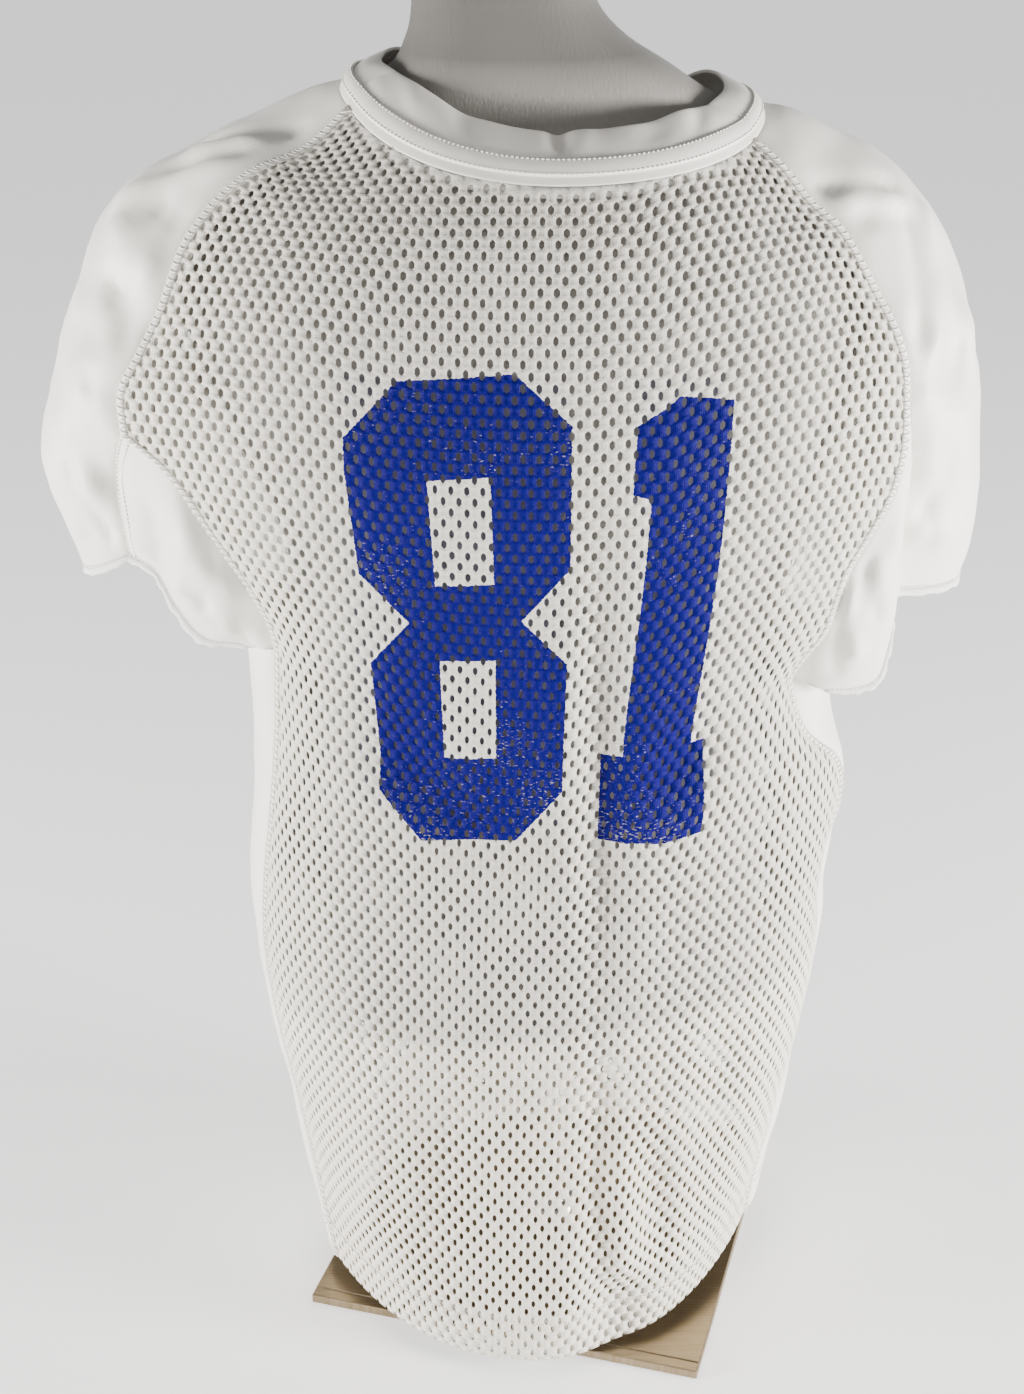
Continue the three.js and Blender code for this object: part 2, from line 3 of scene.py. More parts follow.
import bpy
import numpy as np
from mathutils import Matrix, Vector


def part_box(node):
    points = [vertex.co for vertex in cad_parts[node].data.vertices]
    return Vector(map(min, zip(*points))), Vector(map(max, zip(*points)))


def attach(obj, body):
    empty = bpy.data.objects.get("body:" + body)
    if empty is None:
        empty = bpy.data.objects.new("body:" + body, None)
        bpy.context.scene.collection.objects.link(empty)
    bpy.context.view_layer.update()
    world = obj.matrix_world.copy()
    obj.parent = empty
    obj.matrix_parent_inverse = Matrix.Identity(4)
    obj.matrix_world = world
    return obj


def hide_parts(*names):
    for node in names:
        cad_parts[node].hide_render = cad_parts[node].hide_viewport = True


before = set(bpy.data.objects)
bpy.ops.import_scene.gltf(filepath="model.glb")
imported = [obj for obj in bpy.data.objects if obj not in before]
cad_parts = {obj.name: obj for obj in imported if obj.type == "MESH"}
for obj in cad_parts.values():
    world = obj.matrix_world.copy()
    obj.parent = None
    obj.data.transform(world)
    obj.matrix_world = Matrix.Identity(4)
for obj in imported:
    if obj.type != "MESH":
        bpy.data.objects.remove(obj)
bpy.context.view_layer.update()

# Studio. A wide pale floor, a lamp low on each side, the right one stronger, and a grey-white sky.
# The camera stands a little higher than the form's neck and looks down on the chest.
scene = bpy.context.scene
camera = bpy.data.objects.new("camera", bpy.data.cameras.new("camera"))
camera.location = (-0.0272, -1.1646, 0.94555)
camera.rotation_euler = (math.radians(90 - 25.354), 0, 0)
camera.data.lens = 54.83
camera.data.sensor_width = 36
scene.collection.objects.link(camera)
scene.camera = camera

sky = bpy.data.worlds.new("sky")
sky.use_nodes = True
scene.world = sky
sky_colour = sky.node_tree.nodes["Background"].inputs["Color"]
sky_colour.default_value = (0.98, 0.985, 1.0, 1)


def soft_light(name, place, aim, size, watts, colour):
    """A round lamp that faces the point it is aimed at."""
    lamp = bpy.data.lights.new(name, "AREA")
    lamp.shape = "DISK"
    lamp.size = size
    lamp.energy = watts
    lamp.color = colour
    stand = bpy.data.objects.new(name, lamp)
    stand.location = place
    toward = np.array(aim) - np.array(place)
    stand.rotation_euler = (
        math.acos(-toward[2] / np.linalg.norm(toward)),
        0,
        math.atan2(toward[1], toward[0]) - math.pi / 2,
    )
    scene.collection.objects.link(stand)


soft_light("right_lamp", (2.1, -0.7, 0.45), (0, 0, 0.35), 0.8, 175, (1.0, 0.985, 0.96))
soft_light("left_lamp", (-2.1, -0.6, 0.35), (0, 0, 0.35), 0.8, 130, (1.0, 0.985, 0.96))


def mesh_object(name, points, faces, uv=None):
    """A mesh piece from points in metres, faces, and cloth coordinates for each point."""
    mesh = bpy.data.meshes.new(name)
    mesh.from_pydata([tuple(p) for p in points], [], [tuple(int(i) for i in f) for f in faces])
    if uv is not None:
        corner = np.empty(len(mesh.loops), dtype=np.int32)
        mesh.loops.foreach_get("vertex_index", corner)
        layer = mesh.uv_layers.new(name="cloth")
        layer.data.foreach_set("uv", np.asarray(uv, dtype=np.float32)[corner].ravel())
    mesh.polygons.foreach_set("use_smooth", [True] * len(mesh.polygons))
    piece = bpy.data.objects.new(name, mesh)
    scene.collection.objects.link(piece)
    return piece


def new_material(name, colour, roughness, metallic=0.0):
    """A named material, with its node tree and its shader."""
    material = bpy.data.materials.new(name)
    material.use_nodes = True
    shader = material.node_tree.nodes["Principled BSDF"]
    shader.inputs["Base Color"].default_value = (*colour, 1)
    shader.inputs["Roughness"].default_value = roughness
    shader.inputs["Metallic"].default_value = metallic
    return material, material.node_tree, shader


def add(tree, kind, inputs=None, **settings):
    """One node, with its settings and with values or links for its inputs."""
    node = tree.nodes.new(kind)
    for key, value in settings.items():
        setattr(node, key, value)
    for key, value in (inputs or {}).items():
        socket = node.inputs[key]
        if isinstance(value, bpy.types.NodeSocket):
            tree.links.new(value, socket)
        else:
            socket.default_value = value
    return node


def mixed(tree, factor, dark, light):
    """A colour between two colours, or between a colour and a link."""
    node = add(tree, "ShaderNodeMix", data_type="RGBA")
    for socket, value in zip((node.inputs[0], node.inputs[6], node.inputs[7]), (factor, dark, light)):
        if isinstance(value, bpy.types.NodeSocket):
            tree.links.new(value, socket)
        else:
            socket.default_value = (*value, 1) if isinstance(value, tuple) else value
    return node.outputs[2]


def ramp(tree, factor, stops):
    """A grey ramp: stops are (position, value)."""
    node = add(tree, "ShaderNodeValToRGB", {"Fac": factor})
    elements = node.color_ramp.elements
    while len(elements) < len(stops):
        elements.new(0.5)
    for element, (position, value) in zip(elements, stops):
        element.position = position
        element.color = (value, value, value, 1)
    return node.outputs["Color"]


# The sky is bright along the horizon, as the lit walls are, and dark overhead.
upward = add(sky.node_tree, "ShaderNodeSeparateXYZ", {
    "Vector": add(sky.node_tree, "ShaderNodeTexCoord").outputs["Generated"],
}).outputs["Z"]
dimmer = add(sky.node_tree, "ShaderNodeMapRange", {
    "Value": upward, "From Max": 0.8, "To Min": 0.72, "To Max": 0.24,
})
sky.node_tree.links.new(dimmer.outputs["Result"], sky.node_tree.nodes["Background"].inputs["Strength"])

floor = mesh_object(
    "floor", [(-18, -18, 0), (18, -18, 0), (18, 18, 0), (-18, 18, 0)], [(0, 1, 2, 3)]
)
paper, tree, shader = new_material("pale_floor", (0.94, 0.94, 0.94), 0.8)
grain = add(tree, "ShaderNodeTexNoise", {"Scale": 3.0, "Detail": 2.0})
grey = mixed(tree, grain.outputs["Fac"], (0.93, 0.93, 0.93), (0.96, 0.96, 0.96))
tree.links.new(grey, shader.inputs["Base Color"])
shader.inputs["Emission Color"].default_value = (1, 1, 1, 1)
shader.inputs["Emission Strength"].default_value = 0.8
floor.data.materials.append(paper)

# Base plate. A 254 mm square of steel plate, brushed along one side and nickel plated. Its upper
# edges are eased, and a shallow groove runs along the front edge.
PLATE_SIDE, PLATE_HIGH, PLATE_TURN = 0.254, 0.00635, math.radians(-15.97)
EASE, GROOVE_IN, GROOVE_WIDE, GROOVE_DEEP = 0.0007, 0.0075, 0.0016, 0.0008


def turned(x, y, z):
    """A point of the plate, which stands turned on the floor."""
    c, s = math.cos(PLATE_TURN), math.sin(PLATE_TURN)
    return (x * c - y * s, x * s + y * c, z)


half = PLATE_SIDE / 2
groove = -half + GROOVE_IN
stations = [
    (-half + EASE, PLATE_HIGH), (groove, PLATE_HIGH),
    (groove + GROOVE_WIDE * 0.35, PLATE_HIGH - GROOVE_DEEP),
    (groove + GROOVE_WIDE * 0.65, PLATE_HIGH - GROOVE_DEEP), (groove + GROOVE_WIDE, PLATE_HIGH),
    (half - EASE, PLATE_HIGH), (half - EASE * 0.3, PLATE_HIGH - EASE * 0.3), (half, PLATE_HIGH - EASE),
    (half, EASE), (half - EASE, 0), (-half + EASE, 0), (-half, EASE), (-half, PLATE_HIGH - EASE),
    (-half + EASE * 0.3, PLATE_HIGH - EASE * 0.3),
]
ends = [(-half, 1.0), (-half + EASE, 0.0), (half - EASE, 0.0), (half, 1.0)]
points = []
for x, pulled in ends:
    for y, z in stations:
        y = max(-half + EASE * pulled, min(half - EASE * pulled, y))
        z = max(EASE * pulled, min(PLATE_HIGH - EASE * pulled, z))
        points.append(turned(x, y, z))
count = len(stations)
faces = [
    (k * count + i, (k + 1) * count + i, (k + 1) * count + (i + 1) % count, k * count + (i + 1) % count)
    for k in range(len(ends) - 1)
    for i in range(count)
]
faces.append(tuple(range(count)))
faces.append(tuple(range(3 * count, 4 * count))[::-1])
base_plate = mesh_object("steel_base_plate", points, faces)
base_plate.data.polygons.foreach_set("use_smooth", [False] * len(base_plate.data.polygons))

brushed, tree, shader = new_material("brushed_nickel", (0.52, 0.46, 0.37), 0.3, 1.0)
coords = add(tree, "ShaderNodeTexCoord")
lined = add(tree, "ShaderNodeMapping", {"Vector": coords.outputs["Object"]})
lined.inputs["Rotation"].default_value = (0, 0, -PLATE_TURN)
lined.inputs["Scale"].default_value = (1, 60, 1)
brush = add(tree, "ShaderNodeTexNoise", {"Vector": lined.outputs["Vector"], "Scale": 22.0, "Detail": 6.0})
cloud = add(tree, "ShaderNodeTexNoise", {"Vector": coords.outputs["Object"], "Scale": 14.0, "Detail": 4.0})
tint = mixed(tree, cloud.outputs["Fac"], (0.32, 0.24, 0.14), (0.205, 0.152, 0.085))
streak = mixed(tree, ramp(tree, brush.outputs["Fac"], [(0.35, 0.0), (0.75, 0.35)]), tint, (0.56, 0.48, 0.37))
tree.links.new(streak, shader.inputs["Base Color"])
gloss = add(tree, "ShaderNodeMapRange", {"Value": brush.outputs["Fac"], "To Min": 0.26, "To Max": 0.48})
tree.links.new(gloss.outputs["Result"], shader.inputs["Roughness"])
shader.inputs["Anisotropic"].default_value = 0.5
bump = add(tree, "ShaderNodeBump", {"Height": brush.outputs["Fac"], "Strength": 0.25, "Distance": 0.0002})
tree.links.new(bump.outputs["Normal"], shader.inputs["Normal"])
base_plate.data.materials.append(brushed)
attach(base_plate, "root")
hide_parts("base_plate")

# Pole. A straight chromed steel tube, 20 mm across, screwed into a collar at the plate and into
# the socket under the form.
POLE_R, POLE_AROUND = 0.010, 64
pole_low, pole_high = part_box("pole")
profile = [
    (0.0, pole_low[2]), (0.0165, pole_low[2]), (0.0172, pole_low[2] + 0.0008), (0.0172, pole_low[2] + 0.0085),
    (0.0162, pole_low[2] + 0.0100), (0.0112, pole_low[2] + 0.0105), (POLE_R, pole_low[2] + 0.0112),
    (POLE_R, pole_high[2] - 0.006), (0.0128, pole_high[2] - 0.0055), (0.0132, pole_high[2] - 0.0048),
    (0.0132, pole_high[2] - 0.0006), (0.0126, pole_high[2]), (0.0, pole_high[2]),
]


def lathed(profile, around):
    """Points and faces of a profile of (radius, height) turned round the upright axis."""
    points, rows = [], []
    for radius, z in profile:
        if radius == 0:
            rows.append([len(points)] * around)
            points.append((0, 0, z))
            continue
        rows.append(range(len(points), len(points) + around))
        points += [
            (radius * math.cos(a), radius * math.sin(a), z)
            for a in np.linspace(0, 2 * math.pi, around, endpoint=False)
        ]
    faces = []
    for low, high in zip(rows, rows[1:]):
        for j in range(around):
            k = (j + 1) % around
            face = [low[j], low[k], high[k], high[j]]
            faces.append(tuple(dict.fromkeys(face)))
    return points, faces


chrome_pole = mesh_object("chromed_pole", *lathed(profile, POLE_AROUND))
chrome_pole.data.set_sharp_from_angle(angle=math.radians(35))
chrome, tree, shader = new_material("polished_chrome", (0.72, 0.72, 0.73), 0.08, 1.0)
coords = add(tree, "ShaderNodeTexCoord")
smear = add(tree, "ShaderNodeTexNoise", {"Vector": coords.outputs["Object"], "Scale": 60.0, "Detail": 3.0})
gloss = add(tree, "ShaderNodeMapRange", {"Value": smear.outputs["Fac"], "To Min": 0.05, "To Max": 0.16})
tree.links.new(gloss.outputs["Result"], shader.inputs["Roughness"])
bright = mixed(tree, smear.outputs["Fac"], (0.68, 0.68, 0.7), (0.76, 0.76, 0.76))
tree.links.new(bright, shader.inputs["Base Color"])
chrome_pole.data.materials.append(chrome)
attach(chrome_pole, "root")
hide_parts("pole")

# Dress form. A limbless foam torso with a flat base and a neck block, under a grey-beige fitted
# cover of fine cotton jersey. Painted shade darkens the cover at the neck, where the light falls off
# toward the top, and painted light lightens it from the middle of the torso up.
# Its sections in millimetres: z, left and right x, front and back y, squareness.
TORSO = [
    (205, -126, 112, -108, 70, 2.2), (209, -132, 118, -115, 76, 2.2), (222, -137, 123, -120, 80, 2.2),
    (260, -139, 124, -121, 82, 2.2), (300, -141, 124, -121, 82, 2.2), (380, -146, 121, -122, 84, 2.2),
    (450, -150, 120, -124, 89, 2.2), (510, -158, 134, -124, 93, 2.2), (560, -176, 150, -123, 96, 2.2),
    (610, -200, 166, -115, 95, 2.1), (650, -212, 177, -102, 90, 2.1), (680, -214, 178, -84, 80, 2.1),
    (698, -212, 174, -69, 70, 2.1), (708, -206, 167, -61, 64, 2.1), (718, -201, 157, -53, 58, 2.1),
    (728, -186.5, 142, -43, 51, 2.1), (738, -164.5, 119, -38, 46, 2.1), (747, -139, 90, -37, 42, 2.1),
    (756, -111, 73, -41, 41, 2.1), (766, -93, 58, -43, 42, 2.1), (780, -84, 35, -47, 44, 2.1),
    (798, -80, 18, -51, 46, 2.1), (812, -80, 15, -52, 46, 2.1), (816, -77, 12, -49, 43, 2.1),
    (818, -70, 5, -42, 36, 2.1),
]
MM = 0.001


def smooth_table(rows, at):
    """Values of a table at the knots asked for, on a smooth line through its rows."""
    rows = np.array(rows, dtype=float)
    at = np.atleast_1d(np.asarray(at, dtype=float))
    knots, values = rows[:, 0], rows[:, 1:]
    i = np.clip(np.searchsorted(knots, at) - 1, 0, len(knots) - 2)
    span = np.diff(knots)[:, None]
    slope = np.diff(values, axis=0) / span
    between = (slope[1:] * span[:-1] + slope[:-1] * span[1:]) / (span[:-1] + span[1:])
    bend = np.vstack([slope[:1], between, slope[-1:]])
    h = span[i]
    t = np.clip((at - knots[i])[:, None] / h, 0, 1)
    t2, t3 = t * t, t * t * t
    return (
        (2 * t3 - 3 * t2 + 1) * values[i] + (t3 - 2 * t2 + t) * h * bend[i]
        + (3 * t2 - 2 * t3) * values[i + 1] + (t3 - t2) * h * bend[i + 1]
    )


TORSO_AROUND, RINGS_A_SECTION = 132, 4
levels = [np.linspace(a[0], b[0], RINGS_A_SECTION + 1)[:-1] for a, b in zip(TORSO, TORSO[1:])]
levels = np.concatenate(levels + [[TORSO[-1][0]]])
angle = np.linspace(0, 2 * np.pi, TORSO_AROUND, endpoint=False)
points = []
for z, (x1, x2, y1, y2, power) in zip(levels, smooth_table(TORSO, levels)):
    x = np.sign(np.cos(angle)) * np.abs(np.cos(angle)) ** (2 / power)
    y = np.sign(np.sin(angle)) * np.abs(np.sin(angle)) ** (2 / power)
    x = (x1 + x2) / 2 + x * (x2 - x1) / 2
    y = (y1 + y2) / 2 + y * (y2 - y1) / 2
    points.append(np.stack([x, y, np.full_like(x, z)], 1) * MM)
points = np.concatenate(points)
faces = [
    (i + j, i + (j + 1) % TORSO_AROUND, i + (j + 1) % TORSO_AROUND + TORSO_AROUND, i + j + TORSO_AROUND)
    for i in range(0, (len(levels) - 1) * TORSO_AROUND, TORSO_AROUND)
    for j in range(TORSO_AROUND)
]
lid = len(points) - TORSO_AROUND
faces += [tuple(range(TORSO_AROUND))[::-1], tuple(range(lid, len(points)))]
torso = mesh_object("covered_dress_form", points, faces)
torso.data.set_sharp_from_angle(angle=math.radians(50))


def maths(tree, operation, a, b=0.0):
    """The result of a sum or a comparison of links or values."""
    node = add(tree, "ShaderNodeMath", operation=operation)
    for socket, value in zip(node.inputs, (a, b)):
        if isinstance(value, bpy.types.NodeSocket):
            tree.links.new(value, socket)
        else:
            socket.default_value = value
    return node.outputs[0]


def near(tree, value, middle, half, soft=0.006):
    """1 within half of a middle value, and 0 a little further off."""
    off = maths(tree, "ABSOLUTE", maths(tree, "SUBTRACT", value, middle))
    fade = add(tree, "ShaderNodeMapRange", {"Value": off, "From Min": half + soft, "From Max": half})
    return fade.outputs["Result"]


cover, tree, shader = new_material("form_jersey_cover", (0.24, 0.225, 0.2), 0.9)
coords = add(tree, "ShaderNodeTexCoord")
wales = add(tree, "ShaderNodeMapping", {"Vector": coords.outputs["Object"]})
wales.inputs["Scale"].default_value = (1, 1, 0.32)
fleck = add(tree, "ShaderNodeTexNoise", {"Vector": wales.outputs["Vector"], "Scale": 620.0, "Detail": 3.0})
cloud = add(tree, "ShaderNodeTexNoise", {"Vector": coords.outputs["Object"], "Scale": 9.0, "Detail": 2.0})
base = mixed(tree, cloud.outputs["Fac"], (0.27, 0.25, 0.222), (0.345, 0.32, 0.29))
lit = ramp(tree, fleck.outputs["Fac"], [(0.4, 0.0), (0.72, 0.55)])
cloth_colour = mixed(tree, lit, base, (0.4, 0.375, 0.345))
place = add(tree, "ShaderNodeSeparateXYZ", {"Vector": coords.outputs["Object"]}).outputs
# Painted light: the cover is lightened from the middle of the torso up, for the light that comes through the
# thin knit in front of it.
painted_light_upper_torso = add(tree, "ShaderNodeMapRange", {
    "Value": place["Z"], "From Min": 0.36, "From Max": 0.55, "To Max": 0.6,
})
cloth_colour = mixed(tree, painted_light_upper_torso.outputs["Result"], cloth_colour, (0.5, 0.48, 0.44))
# Painted shade: the cover is darkened towards the neck block, where the light falls off toward the top.
painted_neck_shade = add(tree, "ShaderNodeMapRange", {
    "Value": place["Z"], "From Min": 0.725, "From Max": 0.775, "To Max": 0.93,
})
painted_neck_shade = mixed(tree, painted_neck_shade.outputs["Result"], cloth_colour, (0.042, 0.038, 0.033))
# Little light comes through the inked cloth, so the cover is a deep blue grey behind each numeral.
behind_eight = near(tree, place["X"], middle=-0.058, half=0.056)
behind_one = near(tree, place["X"], middle=0.060, half=0.021)
behind = maths(tree, "MAXIMUM", behind_eight, behind_one)
behind = maths(tree, "MULTIPLY", behind, near(tree, place["Z"], middle=0.498, half=0.126))
behind = maths(tree, "MULTIPLY", behind, near(tree, place["Y"], middle=-0.15, half=0.1))
behind = maths(tree, "MULTIPLY", behind, 0.55)
shaded = mixed(tree, behind, painted_neck_shade, (0.05, 0.07, 0.16))
tree.links.new(shaded, shader.inputs["Base Color"])
shader.inputs["Sheen Weight"].default_value = 0.1
shader.inputs["Sheen Roughness"].default_value = 0.5
bump = add(tree, "ShaderNodeBump", {"Height": fleck.outputs["Fac"], "Strength": 0.6, "Distance": 0.0006})
tree.links.new(bump.outputs["Normal"], shader.inputs["Normal"])
torso.data.materials.append(cover)
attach(torso, "root")
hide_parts("dress_form")

# Front panel. The jersey's front, cut from white mesh knit with staggered rows of small pointed
# holes, hung from the neck and the shoulder seams and turned up 28 mm at the hem.
# Its long edges as they hang, from the hem up to the neck, in millimetres: x, y, z.
FRONT_EDGES = {
    "left": {
        "side": [
            (-143, -62, 20), (-156, -46, 87), (-164, -42, 135), (-175, -42, 200), (-179, -46, 250),
            (-176, -52, 300), (-170, -58, 345), (-164, -62, 400), (-161, -66, 456),
        ],
        "armhole": [
            (-161, -66, 456), (-164, -72, 474), (-174, -78, 498), (-196, -82, 537), (-216, -80, 568),
            (-238, -72, 584),
        ],
        "shoulder": [
            (-238, -72, 584), (-238, -70, 608), (-228, -68, 626), (-216, -64, 648), (-199, -55, 687),
            (-167, -46, 719), (-136, -38, 731), (-113, -30, 750),
        ],
    },
    "right": {
        "side": [
            (128, -34, 34), (132, -30, 60), (141, -24, 100), (150, -20, 150), (158, -24, 204),
            (161, -28, 250), (159, -34, 290), (163, -33, 315), (170, -31, 338), (171, -32, 357),
            (165, -40, 375), (155, -49, 386), (144, -56, 398), (136, -61, 416), (131, -66, 438),
        ],
        "armhole": [
            (131, -66, 438), (137, -71, 451), (149, -76, 470), (153, -78, 485), (158, -80, 506),
            (169, -79, 528), (180, -76, 550), (186, -73, 576), (186, -70, 599),
        ],
        "shoulder": [
            (186, -70, 599), (184, -66, 623), (177, -62, 642), (167, -58, 659), (158, -55, 675),
            (147, -50, 691), (131, -45, 704), (115, -38, 722), (101, -30, 733),
        ],
    },
}
# Its middle line: x, y, z, and the turn of each row's left and right half, in degrees.
MIDDLE_FRONT = [
    (-15, -150, 9, 48, 58), (-14, -145, 60, 62, 74), (-13, -140, 110, 78, 86), (-11, -136, 200, 88, 92),
    (-9, -133, 300, 84, 92), (-7, -132, 400, 74, 78), (-6, -134, 455, 62, 64), (-5, -134, 500, 56, 56),
    (-5, -131, 596, 60, 58), (-5, -118, 655, 58, 56), (-4, -104, 694, 58, 58), (-3, -88, 720, 68, 68),
]
# The garment's main folds, raised (+) or sunk (-) along a line seen from the front.
# x and z of one end, x and z of the other, half width, height, and side (-1 front, 1 back).
FOLDS = [
    (32, 180, 44, 40, 13, 5, -1), (54, 170, 66, 50, 11, -5, -1), (8, 120, 2, 20, 16, 4, -1),
    (38, 66, 34, 4, 18, -9, -1), (-150, 450, -60, 330, 22, 3.5, -1), (-120, 440, -30, 350, 16, -3, -1),
    (120, 430, 50, 330, 20, 3.5, -1), (90, 440, 30, 370, 14, -3, -1), (-90, 250, -120, 60, 18, 4, -1),
    (-60, 220, -80, 60, 14, -3, -1), (95, 260, 100, 80, 16, -3, -1), (-212, 556, -190, 486, 11, 5, -1),
    (-226, 540, -210, 480, 9, -3, -1), (-262, 645, -248, 600, 11, -4, -1),
    (-286, 560, -256, 535, 10, 3, -1), (-286, 530, -258, 508, 9, -3, -1),
    (172, 520, 186, 470, 10, 4, -1), (196, 640, 216, 590, 11, -4, -1), (206, 530, 236, 505, 10, 3, -1),
    (-60, 470, 60, 440, 24, 3, 1), (-110, 420, 20, 300, 26, 4, 1), (110, 420, -10, 300, 26, 4, 1),
    (-60, 200, -70, 60, 18, 5, 1), (40, 200, 60, 60, 18, 5, 1), (-10, 180, -6, 60, 16, -4, 1),
    (-214, 560, -190, 490, 10, 4, 1), (170, 540, 184, 470, 10, 4, 1),
]
# Smaller creases of the same kind, which only show in the cloth's surface.
CREASES = [
    (-256, 690, -226, 664, 9, 2.5, -1), (-246, 668, -216, 636, 8, -2.5, -1),
    (-272, 628, -256, 590, 8, 2, -1), (-283, 602, -262, 566, 9, -2, -1),
    (-264, 560, -244, 528, 8, 2, -1), (196, 700, 214, 660, 9, 2, -1), (204, 650, 222, 612, 8, -2, -1),
    (222, 600, 226, 560, 8, 2, -1), (200, 590, 212, 540, 8, -2, -1), (-200, 560, -196, 510, 8, -2, -1),
    (-140, 420, -70, 390, 12, -1.5, -1), (-60, 430, 20, 300, 18, 1.5, -1),
    (60, 420, 0, 300, 18, 1.5, -1), (16, 570, 22, 236, 10, -5.5, -1), (-2, 520, 2, 250, 15, 2.4, -1),
    (43, 470, 49, 250, 15, 3, -1), (22, 250, 27, 34, 9, -4.5, -1), (-30, 180, -34, 60, 12, 1.5, -1),
    (-100, 180, -108, 60, 9, -2, -1),
]
# Each step along a seam is divided in five. The side seam ends at the armpit, the armhole at the
# point where the sleeve begins, and the shoulder seam at the neck.
FINE = 5
STEPS = {"side": 17 * FINE, "armhole": 7 * FINE, "shoulder": 8 * FINE}
PIT, POINT, NECK = 17, 24, 32
SOFTENING = 10 * FINE**2


def even_points(corners, steps):
    """Points evenly along a smooth line through a list of points."""
    corners = np.array(corners, dtype=float)
    run = np.concatenate([[0], np.cumsum(np.linalg.norm(np.diff(corners, axis=0), axis=1))])
    return smooth_table(np.column_stack([run, corners]), np.linspace(0, run[-1], steps + 1))


def ease(t):
    """A rise from 0 to 1 with soft ends."""
    t = np.clip(t, 0, 1)
    return t * t * (3 - 2 * t)


def folded(points):
    """The cloth's folds and creases, which push it straight out or in at the front and the back."""
    moved = points.copy()
    for x1, z1, x2, z2, width, height, side in FOLDS + CREASES:
        facing = ease((side * points[..., 1] - 8) / 40)
        dx, dz = x2 - x1, z2 - z1
        t = ((points[..., 0] - x1) * dx + (points[..., 2] - z1) * dz) / (dx * dx + dz * dz)
        k = np.clip(t, 0, 1)
        off = np.hypot(points[..., 0] - x1 - k * dx, points[..., 2] - z1 - k * dz) / width
        rise = side * height * facing * np.exp(-off * off) * ease(1.25 - 2 * np.abs(t - 0.5))
        moved[..., 1] += rise
    return moved


def relaxed(line, passes):
    """A softened copy of a cut edge, which the cloth follows away from the edge itself."""
    line = line.copy()
    for _ in range(passes):
        line[1:-1] = 0.5 * line[1:-1] + 0.25 * (line[:-2] + line[2:])
    return line


def cut_edge(seams):
    """One long edge of the front or the back from hem to neck."""
    parts = [even_points(seams[part], steps) for part, steps in STEPS.items()]
    return np.vstack([parts[0], parts[1][1:], parts[2][1:]])


def hung_panel(left, right, middle, columns, zones):
    """A front or back panel, hung between its two long edges over its middle line."""
    z = smooth_table(zones, np.arange(len(left)) / FINE)[:, 0]
    line = smooth_table([(r[2], r[0], r[1], r[3], r[4]) for r in middle], z)
    u = np.linspace(-1, 1, columns * FINE + 1)
    grid = np.empty((len(left), len(u), 3))
    for half, edge in enumerate((left, right)):
        even = relaxed(edge, SOFTENING)
        pick = u <= 0 if half == 0 else u > 0
        a = np.abs(u[pick])[None, :]
        turn = np.radians(line[:, 2 + half])[:, None]
        across = np.sin(turn * a) / np.sin(turn)
        back = (1 - np.cos(turn * a)) / (1 - np.cos(turn))
        half_rows = np.stack([
            line[:, :1] + (even[:, :1] - line[:, :1]) * across,
            line[:, 1:2] + (even[:, 1:2] - line[:, 1:2]) * back,
            z[:, None] + (even[:, 2:] - z[:, None]) * a**2,
        ], axis=2)
        grid[:, pick] = half_rows + (edge - even)[:, None, :] * (a**4)[..., None]
    return grid


def cloth_coordinates(grid):
    """Distances along the cloth for each point of a grid: across from the middle column, and up."""
    steps = np.linalg.norm(np.diff(grid, axis=1), axis=2)
    x = np.concatenate([np.zeros((len(grid), 1)), np.cumsum(steps, axis=1)], axis=1)
    x -= x[:, x.shape[1] // 2, None]
    way = np.gradient(grid, axis=1)
    way /= np.linalg.norm(way, axis=2, keepdims=True)
    rise = np.diff(grid, axis=0)
    along = (rise * (way[1:] + way[:-1]) / 2).sum(axis=2)
    up = np.sqrt(np.maximum((rise**2).sum(axis=2) - along**2, 1e-6))
    y = np.concatenate([np.zeros((1, grid.shape[1])), np.cumsum(up, axis=0)], axis=0)
    return np.stack([x, y], axis=2)


def grid_faces(rows, columns, facing, ring=False):
    """Quads between the points of a grid, turned to face outwards."""
    faces = []
    last = columns if ring else columns - 1
    for i in range(rows - 1):
        for j in range(last):
            a, b = i * columns + j, i * columns + (j + 1) % columns
            face = (a, b, b + columns, a + columns)
            faces.append(face if facing > 0 else face[::-1])
    return faces


def cloth_piece(name, grid, facing, ring=False, uv=None):
    """A sheet of cloth from a grid of points in millimetres."""
    if uv is None:
        uv = cloth_coordinates(grid)
    rows, columns = grid.shape[:2]
    return mesh_object(
        name, grid.reshape(-1, 3) * MM, grid_faces(rows, columns, facing, ring), uv.reshape(-1, 2) * MM
    )


front_edges = {side: cut_edge(seams) for side, seams in FRONT_EDGES.items()}
hung_front = hung_panel(
    front_edges["left"], front_edges["right"], MIDDLE_FRONT, columns=26,
    zones=[(0, 9), (PIT, 447), (POINT, 592), (NECK, 720)],
)
front_grid = folded(hung_front)
front_cloth = cloth_coordinates(front_grid)

# The mesh knit has staggered rows of small pointed holes. A cell is one hole's share of the yarn
# round it, and the tree lays the cells side by side on the flat cut and hangs them with the panel.
HOLE_PITCH, HOLE_ROW = 0.0083, 0.006
HOLE_HALF, HOLE_UP, HOLE_SHOULDER = 0.00122, 0.0027, 0.0013
NET_THICK = 0.0007
HOLE_CORNERS = {
    "top": (0, HOLE_UP, 0), "bottom": (0, -HOLE_UP, 0),
    "upper_right": (HOLE_HALF, HOLE_SHOULDER, 1), "lower_right": (HOLE_HALF, -HOLE_SHOULDER, 1),
    "upper_left": (-HOLE_HALF, HOLE_SHOULDER, -1), "lower_left": (-HOLE_HALF, -HOLE_SHOULDER, -1),
}


